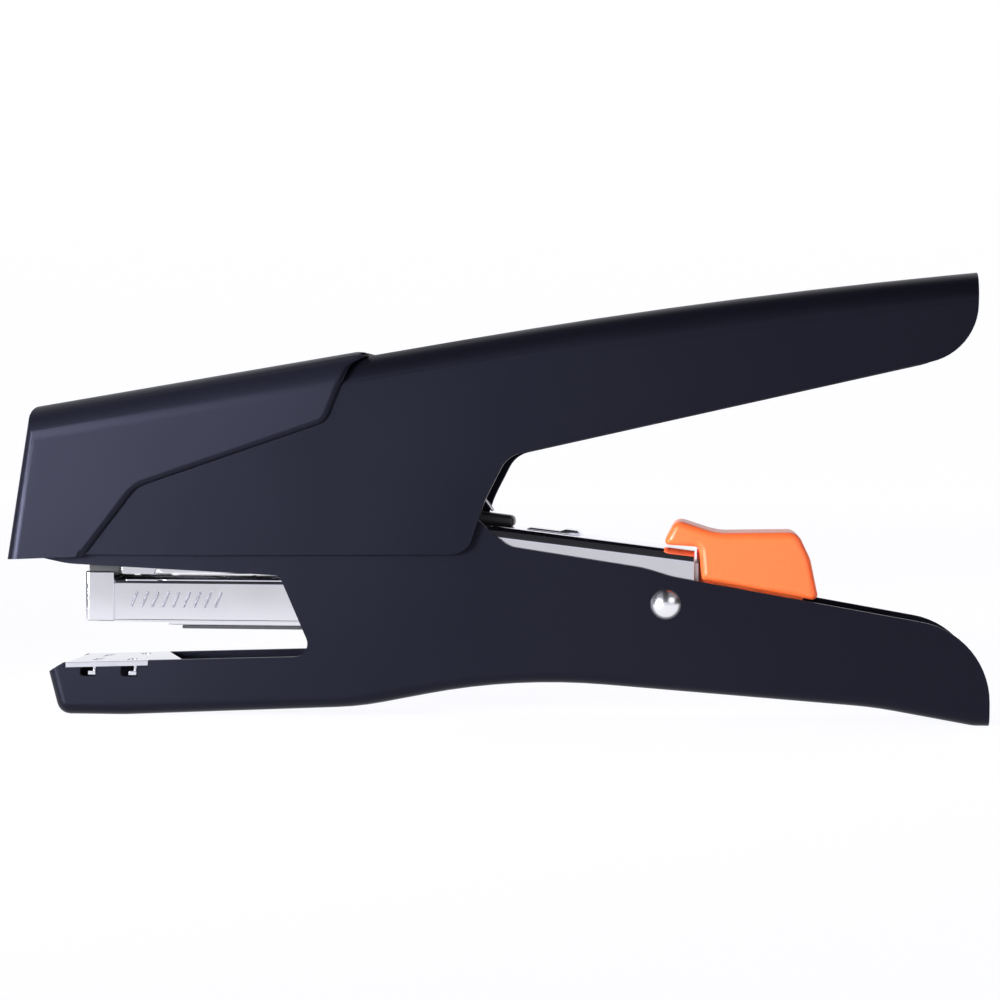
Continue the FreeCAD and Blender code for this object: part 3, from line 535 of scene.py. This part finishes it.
# ---------------------------------------------------------------------------
# Geometry Nodes
# ---------------------------------------------------------------------------
class NodeTool(TreeWriter):
    """A Geometry Nodes tree with named inputs, run once to give a plain mesh."""

    def __init__(self, name: str) -> None:
        """Makes the tree with its geometry output and material input."""
        super().__init__(bpy.data.node_groups.new(name, "GeometryNodeTree"))
        self.name = name
        self.size_input("Geometry", "NodeSocketGeometry")
        self.tree.interface.new_socket("Geometry", in_out="OUTPUT",
                                       socket_type="NodeSocketGeometry")
        self.size_input("Material", "NodeSocketMaterial")
        self.entry = self.node("NodeGroupInput")
        self.build()

    def build(self) -> None:
        """Adds the tree's own nodes."""
        raise NotImplementedError

    def size_input(self, label: str, kind: str = "NodeSocketFloat") -> None:
        """Adds a named input."""
        self.tree.interface.new_socket(label, in_out="INPUT", socket_type=kind)

    def round_wire(self, curve: bpy.types.NodeSocket, radius: bpy.types.NodeSocket,
                   resolution: int, scale: Any = 1.0) -> bpy.types.NodeSocket:
        """Sweeps a closed round section along a curve.

        Args:
            curve: The path.
            radius: The section's radius.
            resolution: Corners in the section.
            scale: The section's scale along the path, a number or a socket.

        Returns:
            The swept mesh.
        """
        section = self.node("GeometryNodeCurvePrimitiveCircle")
        section.inputs["Resolution"].default_value = resolution
        self.link(radius, section.inputs["Radius"])
        sweep = self.node("GeometryNodeCurveToMesh")
        sweep.inputs["Fill Caps"].default_value = True
        self.link(curve, sweep.inputs["Curve"])
        self.link(section.outputs["Curve"], sweep.inputs["Profile Curve"])
        self.feed(sweep.inputs["Scale"], scale)
        return sweep.outputs["Mesh"]

    def end_with(self, geometry: bpy.types.NodeSocket) -> None:
        """Closes the tree: real geometry, then its material.

        Args:
            geometry: The socket that carries the finished shape.
        """
        real = self.node("GeometryNodeRealizeInstances")
        smooth = self.node("GeometryNodeSetShadeSmooth")
        paint = self.node("GeometryNodeSetMaterial")
        out = self.node("NodeGroupOutput")
        self.link(geometry, real.inputs["Geometry"])
        self.link(real.outputs["Geometry"], smooth.inputs["Geometry"])
        self.link(smooth.outputs["Geometry"], paint.inputs["Geometry"])
        self.link(self.entry.outputs["Material"], paint.inputs["Material"])
        self.link(paint.outputs["Geometry"], out.inputs["Geometry"])

    def run(self, name: str, place: Matrix, values: dict[str, Any]) -> bpy.types.Object:
        """Runs the tree and bakes its result into a plain mesh.

        Args:
            name: The piece's name.
            place: Where the shape goes.
            values: Input names and values.

        Returns:
            The piece, at the origin, with its place in its mesh.
        """
        obj = link_piece(name, bpy.data.meshes.new(name))
        modifier = obj.modifiers.new(self.name, "NODES")
        modifier.node_group = self.tree
        for item in self.tree.interface.items_tree:
            if item.in_out == "INPUT" and item.name in values:
                modifier[item.identifier] = values[item.name]
        mesh = plain_mesh(obj)
        obj.modifiers.remove(modifier)
        mesh.transform(place)
        obj.data = mesh
        return obj


class CoilTool(NodeTool):
    """A coil spring along +Z with closed end turns."""

    END_SHARE = 0.13
    STEPS_PER_TURN = 28
    WIRE_CORNERS = 10

    def build(self) -> None:
        """A spiral whose height grows slowly in its end turns, swept by a round wire."""
        for label in ("Radius", "Wire", "Length", "Turns"):
            self.size_input(label)
        sizes = self.entry.outputs
        spiral = self.node("GeometryNodeCurveSpiral")
        spiral.inputs["Resolution"].default_value = self.STEPS_PER_TURN
        spiral.inputs["Height"].default_value = 0.0
        self.link(sizes["Turns"], spiral.inputs["Rotations"])
        self.link(sizes["Radius"], spiral.inputs["Start Radius"])
        self.link(sizes["Radius"], spiral.inputs["End Radius"])
        along = self.node("GeometryNodeSplineParameter").outputs["Factor"]
        wires = self.math("MULTIPLY", sizes["Wire"], 2.0)
        middle = self.math("SUBTRACT", sizes["Length"], self.math("MULTIPLY", wires, 3.0))
        share = self.END_SHARE
        height = sizes["Wire"]
        for low, high, rise in ((0.0, share, wires), (share, 1.0 - share, middle),
                                (1.0 - share, 1.0, wires)):
            height = self.math("ADD", height, self.remap(along, (low, high), (0.0, rise)))
        offset = self.node("ShaderNodeCombineXYZ")
        self.link(height, offset.inputs["Z"])
        lifted = self.node("GeometryNodeSetPosition")
        self.link(spiral.outputs["Curve"], lifted.inputs["Geometry"])
        self.link(offset.outputs["Vector"], lifted.inputs["Offset"])
        self.end_with(self.round_wire(lifted.outputs["Geometry"], sizes["Wire"], self.WIRE_CORNERS))


class RibTool(NodeTool):
    """A row of half-round ribs: each lies along one vector, the row along another."""

    STEPS = 17
    CORNERS = 12
    TIP_SHARE = 0.10
    TIP_SCALE = 0.75

    def build(self) -> None:
        """A tapered round bar on every point of a line of points."""
        self.size_input("Count", "NodeSocketInt")
        self.size_input("Spacing", "NodeSocketVector")
        self.size_input("Rib", "NodeSocketVector")
        self.size_input("Radius")
        row = self.node("GeometryNodeMeshLine", mode="OFFSET")
        self.link(self.entry.outputs["Count"], row.inputs["Count"])
        self.link(self.entry.outputs["Spacing"], row.inputs["Offset"])
        bar = self.node("GeometryNodeCurvePrimitiveLine")
        self.link(self.entry.outputs["Rib"], bar.inputs["End"])
        fine = self.node("GeometryNodeResampleCurve")
        fine.inputs["Count"].default_value = self.STEPS
        self.link(bar.outputs["Curve"], fine.inputs["Curve"])
        along = self.node("GeometryNodeSplineParameter").outputs["Factor"]
        taper = self.node("ShaderNodeFloatCurve")
        points = taper.mapping.curves[0].points
        points[0].location = (0.0, self.TIP_SCALE)
        points[1].location = (1.0, self.TIP_SCALE)
        points.new(self.TIP_SHARE, 1.0)
        points.new(1.0 - self.TIP_SHARE, 1.0)
        taper.mapping.update()
        self.link(along, taper.inputs["Value"])
        swept = self.round_wire(fine.outputs["Curve"], self.entry.outputs["Radius"], self.CORNERS,
                                taper.outputs["Value"])
        placed = self.node("GeometryNodeInstanceOnPoints")
        self.link(row.outputs["Mesh"], placed.inputs["Points"])
        self.link(swept, placed.inputs["Instance"])
        self.end_with(placed.outputs["Instances"])


# ---------------------------------------------------------------------------
# Sub-assemblies
# ---------------------------------------------------------------------------
class Axis(Enum):
    """The directions that a coil spring may lie in."""

    X = (1, 0, 0)
    Z = (0, 0, 1)


@dataclass(frozen=True)
class CoilPlan:
    """A coil spring in the place of a CAD tube, and how its joint presses it."""

    node: str
    axis: Axis
    turns: float
    wire: float
    pressed_by: str
    give: float
    fixed_high: bool = False


@dataclass
class Workshop:
    """What every sub-assembly needs: its materials and its Geometry Nodes tools."""

    effects: SharedEffects = field(default_factory=SharedEffects)
    coil: CoilTool = field(default_factory=lambda: CoilTool("coil_spring"))
    ribs: RibTool = field(default_factory=lambda: RibTool("rib_row"))
    made: dict[str, bpy.types.Material] = field(default_factory=dict)

    def material(self, finish: Finish) -> bpy.types.Material:
        """The material of a finish, built the first time it is asked for."""
        if finish.name not in self.made:
            self.made[finish.name] = finish.build(self.effects)
        return self.made[finish.name]

    def refine(self, plan: Refined, finish: Finish) -> bpy.types.Object:
        """Makes a dressed copy of a CAD node and reports it.

        Args:
            plan: How the node's edges are softened.
            finish: Its finish.

        Returns:
            The dressed piece.
        """
        obj = plan.make()
        obj.data.materials.clear()
        obj.data.materials.append(self.material(finish))
        slot_of(plan.node)
        LOG.info("%s: %d faces, %s", obj.name, len(obj.data.polygons), finish.name)
        return obj

    def paint_node(self, node: str, finish: Finish) -> None:
        """Gives a CAD node that keeps its mesh its finish."""
        for material_slot in frame["nodes"][node].material_slots:
            material_slot.material = self.material(finish)
        LOG.info("%s: kept as it is, %s", node, finish.name)

    def spring(self, plan: CoilPlan) -> bpy.types.Object:
        """Winds the real coil in the place of a CAD spring.

        Args:
            plan: The spring's sizes and the joint that presses it.

        Returns:
            The coil.
        """
        low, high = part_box(plan.node)
        axis = Vector(plan.axis.value)
        length = (high - low).dot(axis)
        start = (low + high) / 2 - axis * length / 2
        turn = Vector(Axis.Z.value).rotation_difference(axis).to_matrix().to_4x4()
        coil = self.coil.run(plan.node + "_coil", Matrix.Translation(start) @ turn, {
            "Radius": (high.y - low.y) / 2 - plan.wire, "Wire": plan.wire, "Length": length,
            "Turns": plan.turns, "Material": self.material(SPRING)})
        slot_of(plan.node)
        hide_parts(plan.node)
        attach(coil, body_of(plan.node))
        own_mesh(coil)
        LOG.info("%s: %d faces, %.1f turns, %.1f mm long, gives %.1f mm", coil.name,
                 len(coil.data.polygons), plan.turns, length / MM, plan.give / MM)
        return coil


@dataclass
class FrameAssembly:
    """Lower handle, jaw, anvil, rivets and hidden cross pins."""

    edge: float = 0.22 * MM
    anvil_edge: float = 0.12 * MM
    pin_edge: float = 0.15 * MM
    lift: CoilPlan = CoilPlan("lift_spring", Axis.Z, 6.0, 0.45 * MM, "magazine_swing", 3.5 * MM)

    def build(self, shop: Workshop) -> None:
        """Dresses the frame's pieces."""
        shop.refine(Refined("frame_shell", soften=self.edge), BLACK_PAINT)
        shop.refine(Refined("anvil_plate", soften=self.anvil_edge), FORMED_CHROME)
        shop.paint_node("pivot_rivets", DOME_CHROME)
        for node in ("nose_pin", "nose_spacer", "stop_pin", "spring_seat"):
            shop.refine(Refined(node, soften=self.pin_edge), STEEL)
        shop.spring(self.lift)


@dataclass
class UpperHandle:
    """Handle shell, nose cover, and the roller with its bracket."""

    edge: float = 0.25 * MM
    cover_edge: float = 0.3 * MM
    roller_edge: float = 0.4 * MM
    rim_width: float = 1.2 * MM
    rim_start: float = 14.8 * MM
    rim_skin: float = 0.3 * MM
    rim_top: float = 34.0 * MM
    rim_level: float = 0.5 * MM
    rim_angle: float = 35.0

    def cover_rim(self, edge: bmesh.types.BMEdge) -> bool:
        """Whether an edge lies on the cover's stepped outer rim.

        Args:
            edge: An edge of the cover.

        Returns:
            True on the outer edges of the rear step, not on the front or the skirt.
        """
        low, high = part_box("nose_cover")
        first, second = (vert.co for vert in edge.verts)
        middle = (first + second) / 2
        on_side = abs(middle.y) > high.y - self.rim_skin
        on_top = middle.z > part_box("handle_shell")[0].z + self.rim_top
        behind = middle.x > low.x + self.rim_start
        along = abs(first.y - second.y) < self.rim_level
        return sharp(edge, self.rim_angle) and (on_side or on_top) and behind and along

    def build(self, shop: Workshop) -> None:
        """Dresses the handle's pieces."""
        shop.refine(Refined("handle_shell", soften=self.edge, steps=3), BLACK_PAINT)
        shop.refine(Refined("nose_cover", soften=self.cover_edge, steps=3, rim=self.cover_rim,
                            rim_width=self.rim_width), COVER_PLASTIC)
        shop.refine(Refined("roller_bracket"), ZINC)
        shop.refine(Refined("roller_pin"), STEEL)
        shop.refine(Refined("pressure_roller", soften=self.roller_edge), STEEL)


@dataclass
class DriverLever:
    """Chromed lever, its blade, holder, rivets and rubber buffer."""

    edge: float = 0.12 * MM
    blade_edge: float = 0.06 * MM
    buffer_edge: float = 0.85 * MM
    top_level: float = 0.98
    top_rise: float = 8.0 * MM
    tab_gap: float = 2.0 * MM
    tab_half: float = 3.2 * MM
    tab_edge: float = 0.2 * MM
    tab_outline: tuple[tuple[float, float], ...] = (
        (0.0, -0.3), (1.2, 0.405), (7.2, 0.405), (8.2, 0.9), (10.6, 0.9), (12.0, -0.3))
    wire: float = 0.35 * MM
    wire_foot: Point = (-4.0 * MM, -1.2 * MM, -0.3 * MM)
    wire_reach: Point = (-3.0 * MM, 0.0, 4.0 * MM)

    def top_line(self) -> tuple[Vector, Vector]:
        """Two points on the middle of the lever's flat top, front one first."""
        mesh = frame["nodes"]["driver_lever"].data
        tops = [mesh.vertices[i].co for face in mesh.polygons if face.normal.z > self.top_level
                for i in face.vertices]
        rear = max(tops, key=lambda co: co.x)
        front = min((co for co in tops if co.z > rear.z + self.top_rise), key=lambda co: co.x)
        return Vector((front.x, 0, front.z)), Vector((rear.x, 0, rear.z))

    def pressed_tab(self, shop: Workshop) -> bpy.types.Object:
        """A low pressed tab on the lever's top, behind the buffer.

        Args:
            shop: The materials and tools.

        Returns:
            The tab.
        """
        front, rear = self.top_line()
        along = (rear - front).normalized()
        up = Vector((-along.z, 0, along.x))
        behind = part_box("lever_bumper")[1].x + self.tab_gap
        start = front + along * ((behind - front.x) / along.x)
        bm = bmesh.new()
        sides = [[bm.verts.new(start + along * (x * MM) + up * (z * MM) + Vector((0, half, 0)))
                  for x, z in self.tab_outline] for half in (-self.tab_half, self.tab_half)]
        bm.faces.new(sides[0])
        bm.faces.new(reversed(sides[1]))
        count = len(self.tab_outline)
        for i in range(count):
            j = (i + 1) % count
            bm.faces.new((sides[0][j], sides[0][i], sides[1][i], sides[1][j]))
        bmesh.ops.recalc_face_normals(bm, faces=bm.faces)
        bmesh.ops.bevel(bm, geom=list(bm.edges), offset=self.tab_edge, segments=2, profile=0.5,
                        affect="EDGES", clamp_overlap=True)
        tab = link_piece("lever_tab", closed_mesh("lever_tab", bm))
        tab.data.materials.append(shop.material(CHROME))
        return add_on(tab, "driver_lever")

    def spring_wire(self, shop: Workshop) -> bpy.types.Object:
        """A short leg of spring wire that stands on the lever beside the buffer.

        Args:
            shop: The materials and tools.

        Returns:
            The wire.
        """
        low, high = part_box("lever_bumper")
        foot = Vector((high.x, low.y, high.z)) + Vector(self.wire_foot)
        wire = shop.ribs.run("lever_spring_leg", Matrix.Translation(foot), {
            "Count": 1, "Rib": self.wire_reach, "Radius": self.wire,
            "Material": shop.material(STEEL)})
        return add_on(wire, "driver_lever")

    def build(self, shop: Workshop) -> None:
        """Dresses the lever's pieces."""
        shop.refine(Refined("driver_lever", soften=self.edge), CHROME)
        shop.refine(Refined("blade_holder"), BLACKENED)
        shop.refine(Refined("blade_rivets"), STEEL)
        shop.refine(Refined("driver_blade", soften=self.blade_edge), BLADE)
        shop.refine(Refined("lever_bumper", soften=self.buffer_edge, steps=5), RUBBER)
        self.pressed_tab(shop)
        self.spring_wire(shop)


@dataclass(frozen=True)
class PressedRow:
    """Half-round marks pressed into the sleeve's sides, placed from its low front corner."""

    name: str
    finish: Finish
    radius: float
    stand: float
    start: float
    foot: float
    lean: float
    rise: float = 0.0
    count: int = 1
    pitch: float = 0.0


@dataclass
class Magazine:
    """Chromed sleeve, nose plate, guide, rail, base and the driver spring."""

    edge: float = 0.1 * MM
    nose_edge: float = 0.3 * MM
    guide_edge: float = 0.25 * MM
    base_edge: float = 0.15 * MM
    crease_end: float = 14.0 * MM
    # The bars carry painted shade: their dark grey copies the shadowed look of stamped lettering.
    bars: PressedRow = PressedRow(
        "sleeve_bars", PAINTED_SHADE_MARKS, radius=0.42 * MM, stand=0.10 * MM, start=6.6 * MM,
        foot=3.4 * MM, lean=1.4 * MM, rise=3.2 * MM, count=9, pitch=2.1 * MM)
    driver: CoilPlan = CoilPlan("driver_spring", Axis.Z, 7.0, 0.45 * MM, "driver_swing", 6.4 * MM)

    def crease(self) -> PressedRow:
        """The pressed line along the foot of the sleeve's sides."""
        low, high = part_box("magazine_sleeve")
        return PressedRow("sleeve_crease", CHROME, radius=0.25 * MM, stand=0.06 * MM,
                          start=0.4 * MM, foot=0.9 * MM, lean=high.x - low.x - self.crease_end)

    def press(self, shop: Workshop, row: PressedRow, side: int) -> bpy.types.Object:
        """Puts one row of marks on one side of the sleeve.

        Args:
            shop: The materials and tools.
            row: The marks.
            side: -1 for the near side, +1 for the far side.

        Returns:
            The row of marks.
        """
        low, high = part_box("magazine_sleeve")
        face = high.y + row.stand - row.radius
        start = Vector((low.x + row.start, side * face, low.z + row.foot))
        name = f"{row.name}_{'far' if side > 0 else 'near'}"
        marks = shop.ribs.run(name, Matrix.Translation(start), {
            "Count": row.count, "Spacing": (row.pitch, 0.0, 0.0), "Rib": (row.lean, 0.0, row.rise),
            "Radius": row.radius, "Material": shop.material(row.finish)})
        return add_on(marks, "magazine_sleeve")

    def build(self, shop: Workshop) -> None:
        """Dresses the magazine's pieces."""
        shop.refine(Refined("magazine_sleeve", soften=self.edge), CHROME)
        shop.refine(Refined("nose_plate", soften=self.nose_edge, steps=3), CHROME)
        shop.refine(Refined("blade_guide", soften=self.guide_edge), BLACK_PLASTIC)
        shop.refine(Refined("staple_rail", soften=self.edge), ZINC)
        shop.refine(Refined("magazine_base", soften=self.base_edge), BLACKENED)
        for side in (-1, 1):
            self.press(shop, self.bars, side)
            self.press(shop, self.crease(), side)
        shop.spring(self.driver)


@dataclass
class Pusher:
    """Orange grip, its rod, latch, follower and the long follower spring."""

    edge: float = 0.35 * MM
    latch_edge: float = 0.1 * MM
    block_edge: float = 0.15 * MM
    follower: CoilPlan = CoilPlan("follower_spring", Axis.X, 34.0, 0.26 * MM, "follower_slide",
                                  55.0 * MM, fixed_high=True)

    def build(self, shop: Workshop) -> None:
        """Dresses the pusher's pieces."""
        shop.refine(Refined("pusher_grip", soften=self.edge, steps=3), ORANGE)
        shop.refine(Refined("rod_plate"), ZINC)
        shop.refine(Refined("pusher_rod"), STEEL)
        shop.refine(Refined("latch_spring", soften=self.latch_edge), SPRING)
        shop.refine(Refined("follower_block", soften=self.block_edge), BLACK_PLASTIC)
        shop.spring(self.follower)


# ---------------------------------------------------------------------------
# Studio
# ---------------------------------------------------------------------------
Stops = tuple[tuple[float, float], ...]


def stage_material(name: str, colour: Colour, roughness: float) -> bpy.types.Material:
    """A plain material for a piece of the studio.

    Args:
        name: The material's name.
        colour: Its colour.
        roughness: Its roughness.

    Returns:
        The material.
    """
    material = bpy.data.materials.new(name)
    material.use_nodes = True
    shader = material.node_tree.nodes["Principled BSDF"]
    shader.inputs["Base Color"].default_value = (*colour, 1)
    shader.inputs["Roughness"].default_value = roughness
    return material


@dataclass(frozen=True)
class Panel:
    """A soft rectangular light: its place, aim, size, power in watts and spread in degrees."""

    name: str
    place: Point
    aim: Point
    size: tuple[float, float]
    power: float
    colour: Colour
    spread: float = 180.0

    def light(self) -> None:
        """Sets the light up."""
        data = bpy.data.lights.new(self.name, "AREA")
        data.spread = math.radians(self.spread)
        data.shape = "RECTANGLE"
        data.size, data.size_y = self.size
        data.energy = self.power
        data.color = self.colour
        obj = bpy.data.objects.new(self.name, data)
        bpy.context.scene.collection.objects.link(obj)
        obj.location = self.place
        aim = Vector(self.aim) - Vector(self.place)
        obj.rotation_euler = aim.to_track_quat("-Z", "Y").to_euler()


OBJECT_MIDDLE = (0.7 * MM, 0.0, 42.7 * MM)
KEY = Panel("key_left", (-0.45, -0.42, 0.09), (-75 * MM, 0.0, 50 * MM), (0.30, 0.22), 0.75,
            (0.94, 0.96, 1.0), spread=36.0)
FILL = Panel("fill_right", (0.8, -0.9, 0.6), OBJECT_MIDDLE, (0.5, 0.5), 1.5, (1.0, 0.98, 0.96))


@dataclass
class Studio:
    """Pale floor, soft light and the camera."""

    azimuth: float = 4.6
    elevation: float = 1.55
    roll: float = 0.25
    distance: float = 500 * MM
    lens: float = 90.72
    sensor: float = 36.0
    floor_half: float = 3.0
    floor_back: float = 2.2
    floor_bend: float = 0.6
    bend_steps: int = 12
    floor_colour: Colour = (0.14, 0.14, 0.14)
    floor_glow: Colour = (0.97, 0.97, 1.0)
    fade_start: float = -255 * MM
    fade_end: float = -370 * MM
    glow_near: float = 0.955
    glow_far: float = 0.62
    card_x: float = -330 * MM
    card_reach: tuple[float, float] = (-190 * MM, 180 * MM)
    card_height: tuple[float, float] = (2 * MM, 300 * MM)
    dim: float = 0.03
    overhead: float = 0.75
    boxes: Stops = ((0.0, 0.03), (0.09, 0.03), (0.13, 0.9), (0.33, 0.9), (0.36, 0.03),
                    (0.61, 0.03), (0.64, 0.8), (0.90, 0.8), (0.94, 0.03))
    horizon: Stops = ((0.0, 0.03), (0.10, 0.03), (0.14, 0.76), (0.90, 0.76), (0.95, 0.03))
    horizon_top: tuple[float, float] = (0.15, 0.24)
    boxes_top: tuple[float, float] = (0.42, 0.62)
    back_edge: tuple[float, float] = (0.35, 0.5)

    def floor(self) -> None:
        """A pale floor that curves up into a backdrop far behind the object."""
        half, back, bend = self.floor_half, self.floor_back, self.floor_bend
        section = [(-half, 0.0), (back - bend, 0.0)]
        for i in range(1, self.bend_steps + 1):
            angle = math.radians(90 * i / self.bend_steps)
            section.append((back - bend + bend * math.sin(angle), bend - bend * math.cos(angle)))
        section.append((back, half))
        bm = bmesh.new()
        rows = [[bm.verts.new((x, y, z)) for x in (-half, half)] for y, z in section]
        for first, second in zip(rows, rows[1:]):
            bm.faces.new((first[0], first[1], second[1], second[0]))
        floor = link_piece("studio_floor", closed_mesh("studio_floor", bm))
        material = stage_material("studio_white", self.floor_colour, 1.0)
        shader = material.node_tree.nodes["Principled BSDF"]
        shader.inputs["Specular IOR Level"].default_value = 0.0
        shader.inputs["Emission Color"].default_value = (*self.floor_glow, 1)
        write = TreeWriter(material.node_tree)
        parts = write.node("ShaderNodeSeparateXYZ")
        write.link(write.node("ShaderNodeTexCoord").outputs["Object"], parts.inputs["Vector"])
        fade = write.remap(parts.outputs["Y"], (self.fade_end, self.fade_start),
                           (self.glow_far, self.glow_near), interpolation_type="SMOOTHSTEP")
        write.link(fade, shader.inputs["Emission Strength"])
        floor.data.materials.append(material)

    def dark_card(self) -> None:
        """A dark card left of the object, which draws a dark line on bent plating."""
        (near, far), (foot, top) = self.card_reach, self.card_height
        bm = bmesh.new()
        bm.faces.new([bm.verts.new((self.card_x, y, z))
                      for y, z in ((near, foot), (far, foot), (far, top), (near, top))])
        card = link_piece("studio_card", closed_mesh("studio_card", bm))
        card.data.materials.append(stage_material("studio_black", (0.01, 0.01, 0.012), 0.9))

    def ramp(self, write: TreeWriter, place: bpy.types.NodeSocket,
             stops: Stops) -> bpy.types.NodeSocket:
        """A ramp of slightly lavender greys.

        Args:
            write: The tree's writer.
            place: The running value.
            stops: Positions with their brightness, in rising order.

        Returns:
            The ramp's colour.
        """
        made = write.node("ShaderNodeValToRGB")
        elements = made.color_ramp.elements
        elements.remove(elements[1])
        elements[0].position = stops[0][0]
        for index, (position, grey) in enumerate(stops):
            stop = elements[0] if index == 0 else elements.new(position)
            stop.color = (grey * 0.95, grey * 0.95, grey * 1.06, 1)
        write.link(place, made.inputs["Fac"])
        return made.outputs["Color"]

    def world(self) -> None:
        """Soft surroundings: bright near the horizon, dim high up in front, white behind."""
        world = bpy.data.worlds.new("studio_surroundings")
        bpy.context.scene.world = world
        world.use_nodes = True
        write = TreeWriter(world.node_tree)
        parts = write.node("ShaderNodeSeparateXYZ")
        write.link(write.node("ShaderNodeTexCoord").outputs["Generated"], parts.inputs["Vector"])
        across, depth, height = (parts.outputs[label] for label in "XYZ")
        place = write.remap(across, (-1.0, 1.0))
        low = write.remap(height, self.horizon_top)
        high = write.remap(height, self.boxes_top, (0.0, self.overhead))
        dimmed = write.mix(high, self.ramp(write, place, self.boxes),
                           (self.dim, self.dim, self.dim * 1.1, 1))
        front = write.mix(low, self.ramp(write, place, self.horizon), dimmed)
        whole = write.mix(write.remap(depth, self.back_edge), front, (1, 1, 1, 1))
        background = world.node_tree.nodes["Background"]
        write.link(whole, background.inputs["Color"])
        background.inputs["Strength"].default_value = 1.0

    def camera(self) -> None:
        """The camera: a long lens, nearly level, a little to the front's right."""
        turn = math.radians(self.azimuth)
        lift = math.radians(self.elevation)
        roll = math.radians(self.roll)
        back = Vector((math.sin(turn) * math.cos(lift), -math.cos(turn) * math.cos(lift),
                       math.sin(lift)))
        right = Vector((0, 0, 1)).cross(back).normalized()
        up = back.cross(right)
        rolled_right = right * math.cos(roll) + up * math.sin(roll)
        rolled_up = up * math.cos(roll) - right * math.sin(roll)
        basis = Matrix((rolled_right, rolled_up, back)).transposed()
        data = bpy.data.cameras.new("camera")
        data.lens = self.lens
        data.sensor_width = self.sensor
        data.clip_start = 10 * MM
        obj = bpy.data.objects.new("camera", data)
        bpy.context.scene.collection.objects.link(obj)
        place = Vector(OBJECT_MIDDLE) + back * self.distance
        obj.matrix_world = Matrix.Translation(place) @ basis.to_4x4()
        bpy.context.scene.camera = obj

    def build(self) -> None:
        """Sets up floor, surroundings, lights and camera."""
        self.floor()
        self.dark_card()
        self.world()
        for panel in (KEY, FILL):
            panel.light()
        self.camera()
        bpy.context.scene.view_settings.view_transform = "Standard"
        LOG.info("studio: floor, two soft lights and the camera")


def main() -> None:
    """Builds every sub-assembly in order and the studio around it."""
    logging.basicConfig(level=logging.INFO, format="%(name)s: %(message)s")
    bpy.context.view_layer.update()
    shop = Workshop()
    for assembly in (FrameAssembly(), UpperHandle(), DriverLever(), Magazine(), Pusher()):
        assembly.build(shop)
    Studio().build()


if __name__ == "__main__":
    main()
